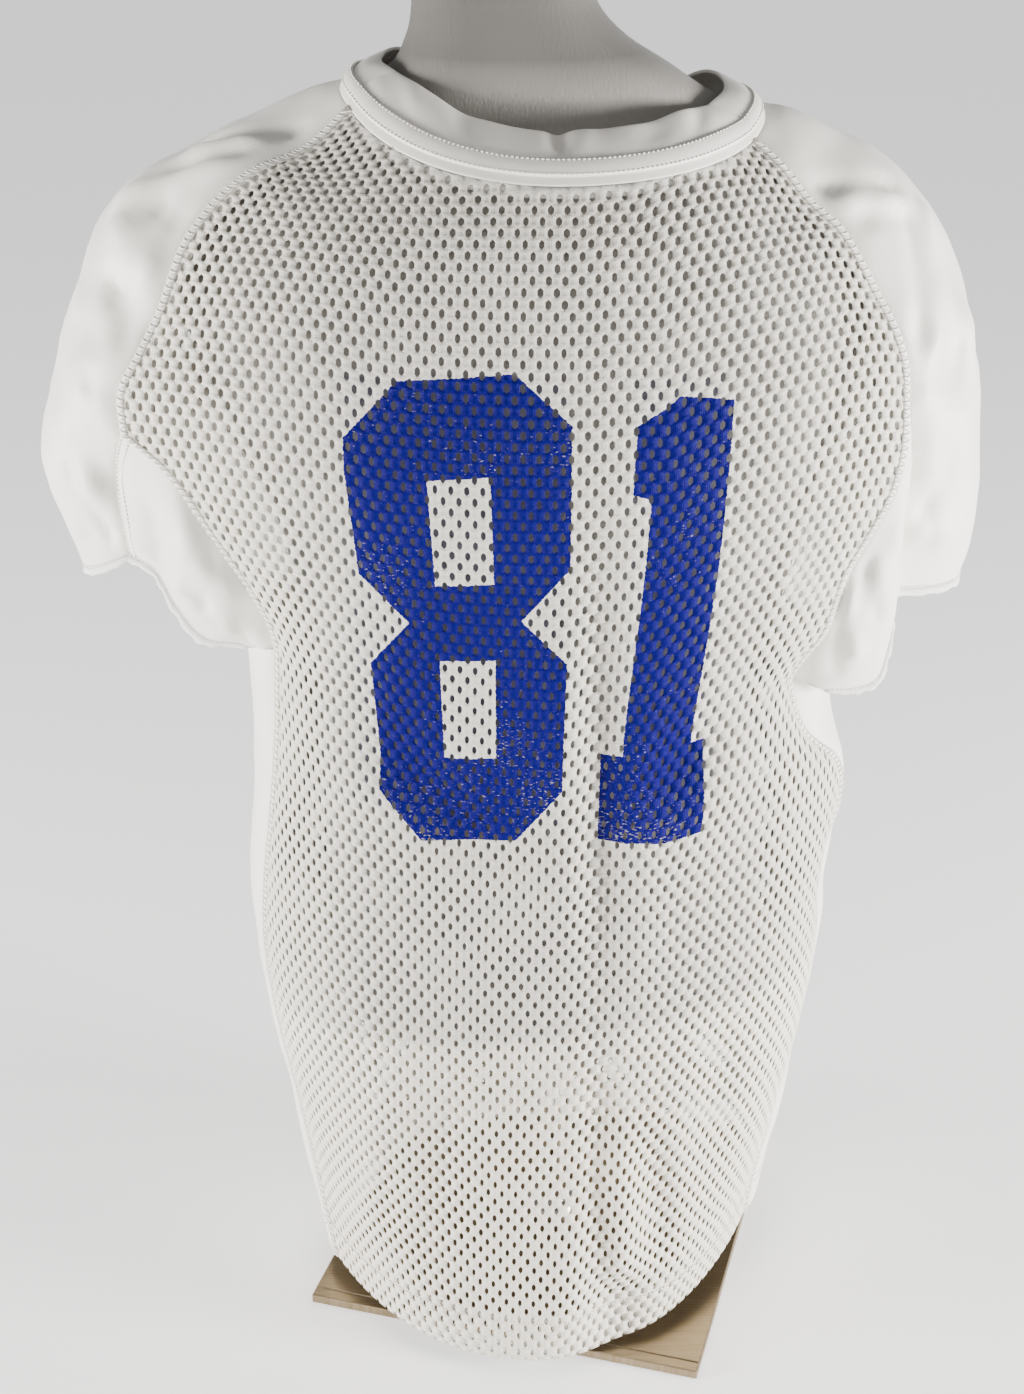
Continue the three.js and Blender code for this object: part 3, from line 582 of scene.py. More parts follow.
def hole_corner(name, across=0.0, up=0):
    """A corner of this cell's hole or of a hole so many pitches and rows off, and its side."""
    x, y, side = HOLE_CORNERS[name]
    return (x + across * HOLE_PITCH, y + up * HOLE_ROW, 0), side


# Five faces of yarn, and two that plug the hole and are kept only at the panel's cut edges.
CELL_FACES = [
    [("upper_right",), ("lower_right",), ("lower_left", 1), ("upper_left", 1)],
    [("upper_right",), ("upper_left", 1), ("bottom", 0.5, 1)],
    [("lower_left", 1), ("lower_right",), ("top", 0.5, -1)],
    [("top",), ("upper_right",), ("bottom", 0.5, 1), ("lower_left", 0.5, 1)],
    [("upper_left",), ("top",), ("lower_right", -0.5, 1), ("bottom", -0.5, 1)],
    [("top",), ("bottom",), ("lower_right",), ("upper_right",)],
    [("bottom",), ("top",), ("upper_left",), ("lower_left",)],
]
IS_PLUG = [0, 0, 0, 0, 0, 1, 1]
places, sides = zip(*[hole_corner(*entry) for face in CELL_FACES for entry in face])
runs = np.cumsum([0] + [len(face) for face in CELL_FACES])
cell = mesh_object("net_cell", places, [range(a, b) for a, b in zip(runs, runs[1:])])
cell.data.attributes.new("side", "FLOAT", "POINT").data.foreach_set("value", sides)
cell.data.attributes.new("plug", "FLOAT", "FACE").data.foreach_set("value", IS_PLUG)


def node_tree(name, sockets):
    """A Geometry Nodes tree with named inputs, its input node and its output node."""
    tree = bpy.data.node_groups.new(name, "GeometryNodeTree")
    tree.interface.new_socket("Geometry", in_out="OUTPUT", socket_type="NodeSocketGeometry")
    tree.interface.new_socket("Geometry", in_out="INPUT", socket_type="NodeSocketGeometry")
    for label, kind in sockets:
        tree.interface.new_socket(label, in_out="INPUT", socket_type=f"NodeSocket{kind}")
    return tree, tree.nodes.new("NodeGroupInput").outputs, tree.nodes.new("NodeGroupOutput").inputs


def read(tree, name, kind="FLOAT"):
    """A named attribute as a link."""
    return add(tree, "GeometryNodeInputNamedAttribute", {"Name": name}, data_type=kind).outputs["Attribute"]


def store(tree, geometry, name, value, kind="FLOAT", domain="POINT"):
    """The geometry with a value kept in a named attribute."""
    node = add(
        tree, "GeometryNodeStoreNamedAttribute",
        {"Geometry": geometry, "Name": name, "Value": value}, data_type=kind, domain=domain,
    )
    return node.outputs["Geometry"]


# The flat copy of the panel says which cells are needed, and its kept places hang them.
net_tree, given, result = node_tree("hung_net", [
    ("Cell", "Object"), ("Columns", "Int"), ("Rows", "Int"), ("Pitch", "Float"), ("Row height", "Float"),
    ("Shift", "Vector"), ("Lift", "Float"), ("Hole growth", "Float"), ("Thread", "Material"),
])
tree = net_tree
position = tree.nodes.new("GeometryNodeInputPosition").outputs[0]
sheet = store(tree, given["Geometry"], "hung", position, "FLOAT_VECTOR")
sheet = store(tree, sheet, "outward", tree.nodes.new("GeometryNodeInputNormal").outputs[0], "FLOAT_VECTOR")
flat = add(tree, "GeometryNodeSetPosition", {
    "Geometry": sheet, "Position": read(tree, "cloth", "FLOAT_VECTOR"),
}).outputs["Geometry"]
wide = maths(tree, "MULTIPLY", maths(tree, "SUBTRACT", given["Columns"], 1.0), given["Pitch"])
high = maths(tree, "MULTIPLY", maths(tree, "SUBTRACT", given["Rows"], 1.0), given["Row height"])
lattice = add(tree, "GeometryNodeMeshGrid", {
    "Size X": wide, "Size Y": high, "Vertices X": given["Columns"], "Vertices Y": given["Rows"],
})
parts = add(tree, "ShaderNodeSeparateXYZ", {"Vector": position})
from_bottom = maths(tree, "ADD", parts.outputs["Y"], maths(tree, "MULTIPLY", high, 0.5))
row_number = maths(tree, "ROUND", maths(tree, "DIVIDE", from_bottom, given["Row height"]))
half_pitch = maths(tree, "MULTIPLY", given["Pitch"], 0.5)
stagger = maths(tree, "MULTIPLY", maths(tree, "MODULO", row_number, 2.0), half_pitch)
moved = add(tree, "ShaderNodeCombineXYZ", {"X": stagger})
moved = add(tree, "ShaderNodeVectorMath", {0: moved.outputs[0], 1: given["Shift"]}, operation="ADD")
lattice = add(tree, "GeometryNodeSetPosition", {
    "Geometry": lattice.outputs["Mesh"], "Offset": moved.outputs[0],
})
cell_mesh = add(tree, "GeometryNodeObjectInfo", {"Object": given["Cell"]})
cells = add(tree, "GeometryNodeInstanceOnPoints", {
    "Points": lattice.outputs["Geometry"], "Instance": cell_mesh.outputs["Geometry"],
})
cells = add(tree, "GeometryNodeRealizeInstances", {"Geometry": cells.outputs["Instances"]})
cells = add(tree, "GeometryNodeMergeByDistance", {"Geometry": cells.outputs["Geometry"], "Distance": 2e-5})
parts = add(tree, "ShaderNodeSeparateXYZ", {"Vector": position})
pull = add(tree, "ShaderNodeMapRange", {
    "Value": parts.outputs["Y"], "From Min": 0.42, "From Max": 0.70, "To Max": given["Hole growth"],
})
uneven = add(tree, "ShaderNodeTexNoise", {"Scale": 26.0, "Detail": 1.0})
uneven = maths(tree, "MULTIPLY", maths(tree, "SUBTRACT", uneven.outputs["Fac"], 0.5), 0.0010)
widen = maths(tree, "MULTIPLY", maths(tree, "ADD", pull.outputs["Result"], uneven), read(tree, "side"))
widen = add(tree, "ShaderNodeCombineXYZ", {"X": widen})
cells = add(tree, "GeometryNodeSetPosition", {
    "Geometry": cells.outputs["Geometry"], "Offset": widen.outputs[0],
})
net = store(tree, cells.outputs["Geometry"], "cloth", position, "FLOAT2", "CORNER")
near_flat = add(tree, "GeometryNodeProximity", {0: flat}, target_element="FACES")
net = store(tree, net, "inside", maths(tree, "LESS_THAN", near_flat.outputs["Distance"], 1e-5))
outside = maths(tree, "LESS_THAN", read(tree, "inside"), 0.01)
net = add(tree, "GeometryNodeDeleteGeometry", {"Geometry": net, "Selection": outside}, domain="FACE")
parts = add(tree, "ShaderNodeSeparateXYZ", {"Vector": position})
low = maths(tree, "LESS_THAN", parts.outputs["Y"], maths(tree, "MULTIPLY", given["Row height"], 0.3))
half_in = maths(tree, "GREATER_THAN", read(tree, "inside"), 0.49)
at_hem = maths(tree, "MULTIPLY", low, half_in)
whole = maths(tree, "GREATER_THAN", read(tree, "inside"), 0.99)
opened = maths(tree, "MULTIPLY", maths(tree, "MAXIMUM", whole, at_hem), read(tree, "plug"))
net = add(
    tree, "GeometryNodeDeleteGeometry", {"Geometry": net.outputs[0], "Selection": opened}, domain="FACE"
)


def sampled(name):
    """What the flat panel keeps under a name, at the nearest place to each point of the net."""
    node = add(
        tree, "GeometryNodeSampleNearestSurface",
        {"Mesh": flat, "Sample Position": position}, data_type="FLOAT_VECTOR",
    )
    tree.links.new(read(tree, name, "FLOAT_VECTOR"), node.inputs["Value"])
    return node.outputs["Value"]


lift = add(tree, "ShaderNodeVectorMath", {0: sampled("outward")}, operation="SCALE")
tree.links.new(given["Lift"], lift.inputs["Scale"])
hung = add(tree, "ShaderNodeVectorMath", {0: sampled("hung"), 1: lift.outputs[0]}, operation="ADD")
net = add(tree, "GeometryNodeSetPosition", {"Geometry": net.outputs[0], "Position": hung.outputs[0]})
net = add(tree, "GeometryNodeMergeByDistance", {"Geometry": net.outputs["Geometry"], "Distance": 1e-5})
net = add(tree, "GeometryNodeRealizeInstances", {"Geometry": net.outputs["Geometry"]})
net = add(tree, "GeometryNodeSetMaterial", {"Geometry": net.outputs["Geometry"], "Material": given["Thread"]})
tree.links.new(net.outputs["Geometry"], result["Geometry"])


def made_with(piece, tree, values):
    """The piece's mesh as the tree makes it, with the modifier gone."""
    modifier = piece.modifiers.new(tree.name, "NODES")
    modifier.node_group = tree
    for item in tree.interface.items_tree:
        if item.in_out == "INPUT" and item.name in values:
            modifier[item.identifier] = values[item.name]
    bpy.context.view_layer.update()
    made = bpy.data.meshes.new_from_object(piece.evaluated_get(bpy.context.evaluated_depsgraph_get()))
    piece.modifiers.remove(modifier)
    old, piece.data = piece.data, made
    bpy.data.meshes.remove(old)
    made.name = piece.name
    made.polygons.foreach_set("use_smooth", [True] * len(made.polygons))
    for name in ("side", "plug", "inside", "hung", "outward"):
        if name in made.attributes:
            made.attributes.remove(made.attributes[name])


def net_piece(name, grid, cloth, material, lift=0.0, shift=0.0, growth=0.0):
    """A panel of mesh knit, hung on a grid of points."""
    piece = cloth_piece(name, grid, 1, uv=cloth)
    low, high = cloth.reshape(-1, 2).min(0) * MM, cloth.reshape(-1, 2).max(0) * MM
    columns = int((high[0] - low[0]) / HOLE_PITCH) + 4
    rows = int((high[1] - low[1]) / HOLE_ROW) + 4
    middle = round((low[0] + high[0]) / 2 / HOLE_PITCH) * HOLE_PITCH + shift
    made_with(piece, net_tree, {
        "Cell": cell, "Columns": columns, "Rows": rows, "Pitch": HOLE_PITCH, "Row height": HOLE_ROW,
        "Shift": (middle, (rows - 1) / 2 * HOLE_ROW, 0), "Lift": lift, "Hole growth": growth,
        "Thread": material,
    })
    solid = piece.modifiers.new("yarn", "SOLIDIFY")
    solid.thickness = NET_THICK
    solid.offset = -1
    return piece


def knit_bump(tree, place, wale, depth, strength):
    """Fine upright ribs of knitted loops, as a bump."""
    loops = add(tree, "ShaderNodeMapping", {"Vector": place})
    loops.inputs["Scale"].default_value = (1 / wale, 0.8 / wale, 1)
    loops = loops.outputs["Vector"]
    ribs = add(tree, "ShaderNodeTexVoronoi", {"Vector": loops, "Scale": 1.0, "Randomness": 0.35})
    fuzz = add(tree, "ShaderNodeTexNoise", {"Vector": loops, "Scale": 2.2, "Detail": 2.0})
    height = maths(tree, "ADD", maths(tree, "MULTIPLY", ribs.outputs["Distance"], -1.0), fuzz.outputs["Fac"])
    bump = add(tree, "ShaderNodeBump", {"Height": height, "Strength": strength, "Distance": depth})
    return bump.outputs["Normal"], fuzz.outputs["Fac"]


def mesh_yarn(name):
    """White mesh knit, a little soiled, with painted shade greying it where the form stands right behind the
    thin cloth.
    """
    form_edge, slope, soft = 0.231, 0.105, 0.01
    material, tree, shader = new_material(name, (0.8, 0.79, 0.76), 0.8)
    place = add(tree, "ShaderNodeUVMap", uv_map="cloth").outputs["UV"]
    normal, fuzz = knit_bump(tree, place, wale=0.00105, depth=0.0004, strength=0.7)
    tree.links.new(normal, shader.inputs["Normal"])
    soil = add(tree, "ShaderNodeTexNoise", {"Vector": place, "Scale": 7.0, "Detail": 4.0})
    yarn = mixed(tree, soil.outputs["Fac"], (0.74, 0.695, 0.607), (0.635, 0.583, 0.48))
    yarn = mixed(tree, ramp(tree, fuzz, [(0.3, 0.0), (0.75, 0.45)]), yarn, (0.82, 0.79, 0.725))
    hung = add(tree, "ShaderNodeTexCoord").outputs["Object"]
    hung = add(tree, "ShaderNodeSeparateXYZ", {"Vector": hung}).outputs
    # Painted shade: the yarn is greyed above the form's bottom edge and near the middle, where the form
    # behind the thin cloth lets less light through.
    above_edge = maths(tree, "SUBTRACT", hung["Z"], maths(tree, "MULTIPLY", hung["X"], slope))
    painted_shade_over_form = add(tree, "ShaderNodeMapRange", {
        "Value": above_edge, "From Min": form_edge, "From Max": form_edge + soft,
    })
    off_middle = add(tree, "ShaderNodeMapRange", {
        "Value": maths(tree, "ABSOLUTE", hung["X"]), "From Min": 0.21, "From Max": 0.11,
    })
    painted_shade_over_form = maths(tree, "MULTIPLY", painted_shade_over_form.outputs["Result"], off_middle.outputs["Result"])
    yarn = mixed(tree, maths(tree, "MULTIPLY", painted_shade_over_form, 0.5), yarn, (0.40, 0.385, 0.36))
    tree.links.new(yarn, shader.inputs["Base Color"])
    shader.inputs["Specular IOR Level"].default_value = 0.4
    return material, tree, shader, place, fuzz, yarn


mesh_knit, tree, shader, place, fuzz, yarn = mesh_yarn("white_mesh_knit")

# The numerals are screen printed in deep blue on the front, 265 mm tall, over yarn and holes alike.
# Each is built from blocks with cut corners: middle, half size and corner cut, in metres.
block = bpy.data.node_groups.new("cut_corner_block", "ShaderNodeTree")
block.interface.new_socket("Outside", in_out="OUTPUT", socket_type="NodeSocketFloat")
sockets = {"Place": "Vector", "Middle": "Vector", "Half size": "Vector", "Corner cut": "Float"}
for label, kind in sockets.items():
    block.interface.new_socket(label, in_out="INPUT", socket_type=f"NodeSocket{kind}")
given = block.nodes.new("NodeGroupInput").outputs
result = block.nodes.new("NodeGroupOutput").inputs
away = add(block, "ShaderNodeVectorMath", {0: given["Place"], 1: given["Middle"]}, operation="SUBTRACT")
away = add(block, "ShaderNodeVectorMath", {0: away.outputs[0]}, operation="ABSOLUTE")
away = add(block, "ShaderNodeVectorMath", {0: away.outputs[0], 1: given["Half size"]}, operation="SUBTRACT")
away = add(block, "ShaderNodeSeparateXYZ", {"Vector": away.outputs[0]})
cut = maths(block, "ADD", maths(block, "ADD", away.outputs["X"], away.outputs["Y"]), given["Corner cut"])
straight = maths(block, "MAXIMUM", away.outputs["X"], away.outputs["Y"])
block.links.new(maths(block, "MAXIMUM", straight, maths(block, "MULTIPLY", cut, 0.75)), result["Outside"])


def printed_block(tree, place, middle, half_size, corner_cut):
    """How far outside one block of a numeral a place is, negative within it."""
    node = add(tree, "ShaderNodeGroup", node_tree=block)
    tree.links.new(place, node.inputs["Place"])
    node.inputs["Middle"].default_value = (*middle, 0)
    node.inputs["Half size"].default_value = (*half_size, 1)
    node.inputs["Corner cut"].default_value = corner_cut
    return node.outputs["Outside"]


# The cloth hangs askew, so each numeral leans a little: the eight narrows down its left side, and
# the one tips to the right and droops at its top right corner.
flat_place = add(tree, "ShaderNodeSeparateXYZ", {"Vector": place})
across, up = flat_place.outputs["X"], flat_place.outputs["Y"]
narrow = add(tree, "ShaderNodeMapRange", {
    "Value": up, "From Min": 0.57, "From Max": 0.40, "To Min": 1.0, "To Max": 1.15,
})
eight_place = add(tree, "ShaderNodeCombineXYZ", {
    "X": maths(tree, "MULTIPLY", across, narrow.outputs["Result"]),
    "Y": maths(tree, "SUBTRACT", up, maths(tree, "MULTIPLY", across, 0.11)),
}).outputs[0]
lean = maths(tree, "MULTIPLY", maths(tree, "MAXIMUM", maths(tree, "SUBTRACT", up, 0.42), 0.0), 0.055)
droop = add(tree, "ShaderNodeMapRange", {
    "Value": up, "From Min": 0.42, "From Max": 0.60, "To Min": 0.08, "To Max": 0.36,
})
droop = maths(tree, "MULTIPLY", maths(tree, "SUBTRACT", across, 0.052), droop.outputs["Result"])
one_place = add(tree, "ShaderNodeCombineXYZ", {
    "X": maths(tree, "SUBTRACT", across, lean), "Y": maths(tree, "ADD", up, droop),
}).outputs[0]
EIGHT = (-0.0510, 0.4945)
ONE = (0.0620, 0.4845)
eight = maths(
    tree, "MINIMUM",
    printed_block(tree, eight_place, (EIGHT[0], EIGHT[1] - 0.0655), (0.0595, 0.0675), 0.029),
    printed_block(tree, eight_place, (EIGHT[0], EIGHT[1] + 0.0655), (0.0595, 0.0675), 0.029),
)
for rise in (-0.0515, 0.0515):
    eye = printed_block(tree, eight_place, (EIGHT[0] + 0.001, EIGHT[1] + rise), (0.0165, 0.0295), 0.0)
    eight = maths(tree, "MAXIMUM", eight, maths(tree, "MULTIPLY", eye, -1.0))
one = printed_block(tree, one_place, (ONE[0] + 0.0010, ONE[1] - 0.0060), (0.0205, 0.1235), 0.0)
for middle, half_size, corner_cut in (
    ((ONE[0] - 0.0015, ONE[1] - 0.1030), (0.0305, 0.0265), 0.0),
    ((ONE[0] + 0.0065, ONE[1] + 0.1010), (0.0150, 0.0285), 0.0),
    ((ONE[0] - 0.0040, ONE[1] + 0.1010), (0.0255, 0.0285), 0.021),
    ((ONE[0] - 0.0140, ONE[1] + 0.0870), (0.0155, 0.0145), 0.0),
):
    one = maths(tree, "MINIMUM", one, printed_block(tree, one_place, middle, half_size, corner_cut))
ragged = add(tree, "ShaderNodeTexNoise", {"Vector": place, "Scale": 500.0, "Detail": 1.0})
edge = maths(tree, "MULTIPLY", maths(tree, "SUBTRACT", ragged.outputs["Fac"], 0.5), 0.0016)
inked = maths(tree, "LESS_THAN", maths(tree, "ADD", maths(tree, "MINIMUM", eight, one), edge), 0.0)
loops = add(tree, "ShaderNodeMapping", {"Vector": place})
loops.inputs["Scale"].default_value = (380, 900, 1)
fleck = add(tree, "ShaderNodeTexNoise", {"Vector": loops.outputs["Vector"], "Scale": 1.0, "Detail": 2.0})
worn = add(tree, "ShaderNodeTexNoise", {"Vector": place, "Scale": 16.0, "Detail": 2.0})
worn = maths(tree, "ADD", fleck.outputs["Fac"], maths(tree, "MULTIPLY", worn.outputs["Fac"], 0.35))
rubbed = add(tree, "ShaderNodeMapRange", {
    "Value": up, "From Min": 0.45, "From Max": 0.37, "To Max": 0.06,
})
worn = maths(tree, "ADD", worn, rubbed.outputs["Result"])
kept = ramp(tree, worn, [(0.86, 1.0), (0.98, 0.45)])
ink = mixed(tree, fuzz, (0.0015, 0.0, 0.064), (0.005, 0.0005, 0.125))
tree.links.new(mixed(tree, maths(tree, "MULTIPLY", inked, kept), yarn, ink), shader.inputs["Base Color"])
gloss = add(tree, "ShaderNodeMapRange", {"Value": inked, "To Min": 0.8, "To Max": 0.5})
tree.links.new(gloss.outputs["Result"], shader.inputs["Roughness"])
gloss = add(tree, "ShaderNodeMapRange", {"Value": inked, "To Min": 0.4, "To Max": 0.05})
tree.links.new(gloss.outputs["Result"], shader.inputs["Specular IOR Level"])

front_panel = net_piece("front_mesh_panel", front_grid, front_cloth, mesh_knit, growth=0.00035)
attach(front_panel, "root")
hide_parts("front_panel")

# Back panel. The same mesh knit as the front, cut a little higher at the hem and at the neck, and
# hung from the same seams. Its long edges and its middle line are given like the front's.
BACK_EDGES = {
    "left": {
        "side": [
            (-118, 30, 26), (-138, 40, 100), (-156, 46, 200), (-164, 48, 300), (-160, 48, 380),
            (-154, 46, 456),
        ],
        "armhole": [
            (-154, 46, 456), (-162, 56, 480), (-184, 64, 520), (-214, 62, 562), (-232, 56, 588),
        ],
        "shoulder": [
            (-232, 56, 588), (-230, 58, 612), (-216, 58, 648), (-192, 56, 686), (-150, 54, 720),
            (-118, 53, 734), (-86, 50, 743),
        ],
    },
    "right": {
        "side": [
            (122, 58, 54), (134, 56, 110), (146, 52, 200), (150, 50, 300), (146, 48, 380),
            (140, 46, 438),
        ],
        "armhole": [
            (140, 46, 438), (146, 56, 466), (160, 62, 510), (176, 60, 560), (184, 56, 596),
        ],
        "shoulder": [
            (184, 56, 596), (182, 58, 626), (172, 58, 656), (152, 56, 690), (112, 53, 715),
            (76, 50, 731),
        ],
    },
}
MIDDLE_BACK = [
    (2, 84, 24, 60, 70), (0, 86, 100, 76, 80), (-2, 91, 200, 82, 84), (-4, 95, 300, 82, 82),
    (-5, 98, 400, 74, 74), (-5, 101, 450, 68, 68), (-5, 108, 596, 60, 60), (-5, 104, 670, 56, 56),
    (-5, 86, 716, 58, 58), (-5, 68, 743, 48, 48),
]
back_edges = {side: cut_edge(seams) for side, seams in BACK_EDGES.items()}
hung_back = hung_panel(
    back_edges["right"], back_edges["left"], MIDDLE_BACK, columns=18,
    zones=[(0, 24), (PIT, 447), (POINT, 594), (NECK, 743)],
)
back_grid = folded(hung_back)
back_cloth = cloth_coordinates(back_grid)
plain_mesh = mesh_yarn("white_mesh_knit_plain")[0]
back_panel = net_piece("back_mesh_panel", back_grid, back_cloth, plain_mesh, growth=0.0002)
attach(back_panel, "root")
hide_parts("back_panel")

# Side panels. A strip of plain white knit under each arm, between the front and the back. Plain
# knit is a close, smooth jersey with a soft satin sheen, cut and overlocked to the mesh.
# How far each stands out from the line between its seams, in millimetres: z, bulge.
SIDE_BULGE = {
    "left": [(20, 12), (90, 14), (200, 14), (300, 16), (345, 17), (400, 20), (456, 25)],
    "right": [(20, 13), (90, 14), (200, 10), (300, 12), (345, 6), (400, 20), (456, 29)],
}
KNIT_THICK = 0.0012
PIT_ROW = PIT * FINE


def arched(a, crown, b, turn, columns):
    """Rows of cloth that arch from one edge over a crown line to the other edge."""
    t = np.linspace(0, 1, columns + 1)[None, :]
    turn = np.radians(np.broadcast_to(turn, len(a)))[:, None]
    side = np.sin(turn * (1 - 2 * t)) / np.sin(turn)
    up = (np.cos(turn * (1 - 2 * t)) - np.cos(turn)) / (1 - np.cos(turn))
    foot = (a + b) / 2
    return foot[:, None] + (a - b)[:, None] / 2 * side[..., None] + (crown - foot)[:, None] * up[..., None]


def outward(grid, facing, ring=False):
    """Unit normals of a grid of points, towards the outside of the garment."""
    if ring:
        across = np.roll(grid, -1, axis=1) - np.roll(grid, 1, axis=1)
    else:
        across = np.gradient(grid, axis=1)
    normal = np.cross(across, np.gradient(grid, axis=0)) * facing
    return normal / np.maximum(np.linalg.norm(normal, axis=2, keepdims=True), 1e-9)


def at_rows_and_columns(grid, rows, columns):
    """Points of a grid at fractional rows and columns."""
    i = np.clip(rows.astype(int), 0, grid.shape[0] - 2)
    across = grid[i] + (grid[i + 1] - grid[i]) * (rows - i)[:, None, None]
    j = np.clip(columns.astype(int), 0, grid.shape[1] - 2)
    return across[:, j] + (across[:, j + 1] - across[:, j]) * (columns - j)[None, :, None]


def close_to_edges(count):
    """Steps along a grid, with a few more of them next to its two edges."""
    fine = [0.0, 0.06, 0.16, 0.34, 0.62]
    return np.array(fine + list(range(1, count - 1)) + [count - 1 - s for s in reversed(fine)])


def rumple(cloth, height):
    """Slight unevenness of loose cloth, in the cloth's own coordinates."""
    x, y = cloth[..., 0], cloth[..., 1]
    waves = [
        (0.031, 0.052, 0.3), (-0.058, 0.037, 1.9), (0.083, 0.021, 4.1), (0.017, -0.092, 2.7),
        (-0.121, 0.064, 5.2),
    ]
    total = sum(np.sin(x * a + y * b + c + 0.6 * np.sin(y * a * 1.7 + c)) for a, b, c in waves)
    return height * total / 2.2


def soft_folds(grid, folds):
    """Height of folds over a grid, each along a line between two points: half width, height."""
    rise = np.zeros(grid.shape[:2])
    for x1, y1, z1, x2, y2, z2, width, height in folds:
        start, way = np.array([x1, y1, z1]), np.array([x2 - x1, y2 - y1, z2 - z1])
        t = ((grid - start) @ way) / (way @ way)
        off = np.linalg.norm(grid - start - np.clip(t, 0, 1)[..., None] * way, axis=2) / width
        rise += height * np.exp(-off * off) * (0.75 + 0.25 * np.sin(9 * t))
    return rise


# Widths along a seam, in millimetres: the dip into it, and the flat strip that folds run out in.
SEAM_DIP, FLAT_BY_SEAM = 1.1, 12


def knit_piece(name, grid, facing, material, ring=False, swell=0.5, loose=0.5, folds=()):
    """A piece of plain knit that dips into its seams and swells a little between them."""
    if not ring:
        grid = at_rows_and_columns(grid, close_to_edges(grid.shape[0]), close_to_edges(grid.shape[1]))
    cloth = cloth_coordinates(grid)
    normal = outward(grid, facing, ring)
    down = np.cumsum(np.linalg.norm(np.diff(grid, axis=0), axis=2), axis=0)
    down = np.concatenate([np.zeros((1, grid.shape[1])), down])
    inner = np.minimum(down, down[-1] - down)
    if not ring:
        across = cloth[..., 0] - cloth[:, :1, 0]
        inner = np.minimum(inner, np.minimum(across, across[:, -1:] - across))
    folds_rise = (rumple(cloth, loose) + soft_folds(grid, folds)) * ease(inner / FLAT_BY_SEAM)
    rise = swell * (1 - np.exp(-inner / SEAM_DIP)) + folds_rise
    piece = cloth_piece(name, grid + normal * rise[..., None], facing, ring, cloth)
    piece.data.materials.append(material)
    solid = piece.modifiers.new("cloth", "SOLIDIFY")
    solid.thickness = KNIT_THICK
    solid.offset = -1
    return piece


plain_knit, tree, shader = new_material("white_plain_knit", (0.82, 0.815, 0.79), 0.5)
place = add(tree, "ShaderNodeUVMap", uv_map="cloth").outputs["UV"]
normal, fuzz = knit_bump(tree, place, wale=0.0008, depth=0.00022, strength=0.5)
tree.links.new(normal, shader.inputs["Normal"])
soil = add(tree, "ShaderNodeTexNoise", {"Vector": place, "Scale": 11.0, "Detail": 4.0})
base = mixed(tree, soil.outputs["Fac"], (0.86, 0.825, 0.755), (0.77, 0.727, 0.645))
knit_colour = mixed(tree, ramp(tree, fuzz, [(0.3, 0.0), (0.8, 0.4)]), base, (0.92, 0.905, 0.88))
tree.links.new(knit_colour, shader.inputs["Base Color"])
gloss = add(tree, "ShaderNodeMapRange", {"Value": fuzz, "To Min": 0.34, "To Max": 0.52})
tree.links.new(gloss.outputs["Result"], shader.inputs["Roughness"])
shader.inputs["Sheen Weight"].default_value = 0.1
shader.inputs["Specular IOR Level"].default_value = 0.6

grids = {}
for side, out in (("left", -1), ("right", 1)):
    a, b = front_edges[side][:PIT_ROW + 1], back_edges[side][:PIT_ROW + 1]
    crown = (a + b) / 2
    crown[:, 0] += out * smooth_table(SIDE_BULGE[side], crown[:, 2])[:, 0]
    grids[f"side_{side}"] = arched(a, crown, b, turn=78, columns=5 * FINE)
    panel = knit_piece(f"side_panel_knit_{side}", folded(grids[f"side_{side}"]), out, plain_knit)
    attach(panel, "root")
    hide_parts(f"side_panel_{side}")

# Sleeves. Each is one piece of plain knit from the neck over the shoulder to the cuff, joined to
# the front and the back by the long seams that the mesh hangs from.
# Its seams with the gusset and the ridge over its top, in millimetres: x, y, z.
SLEEVE_LINES = {
    "left": {
        "front": [
            (-238, -72, 584), (-244, -62, 564), (-245, -57, 541), (-244, -53, 520), (-243, -50, 506),
        ],
        "back": [
            (-232, 56, 588), (-240, 52, 560), (-242, 46, 530), (-242, 42, 500),
        ],
        "ridge_shoulder": [
            (-114, 10, 758), (-146, 9, 748), (-174, 7, 736), (-205, 5, 722), (-228, 3, 709),
            (-252, 0, 683), (-271, -3, 640), (-285, -5, 597),
        ],
        "ridge_sleeve": [
            (-285, -5, 597), (-293, -5, 555), (-289, -4, 525), (-282, -3, 500), (-277, -2, 484),
        ],
    },
    "right": {
        "front": [
            (186, -70, 599), (189, -66, 578), (188, -64, 556), (183, -60, 520), (178, -56, 489),
        ],
        "back": [
            (184, 56, 596), (190, 54, 560), (188, 48, 520), (182, 42, 484),
        ],
        "ridge_shoulder": [
            (104, 10, 745), (129, 9, 739), (147, 8, 731), (169, 6, 721), (190, 4, 706), (209, 1, 678),
            (224, -2, 640), (233, -4, 606),
        ],
        "ridge_sleeve": [
            (233, -4, 606), (238, -4, 570), (240, -4, 530), (239, -4, 500), (235, -3, 478),
        ],
    },
}
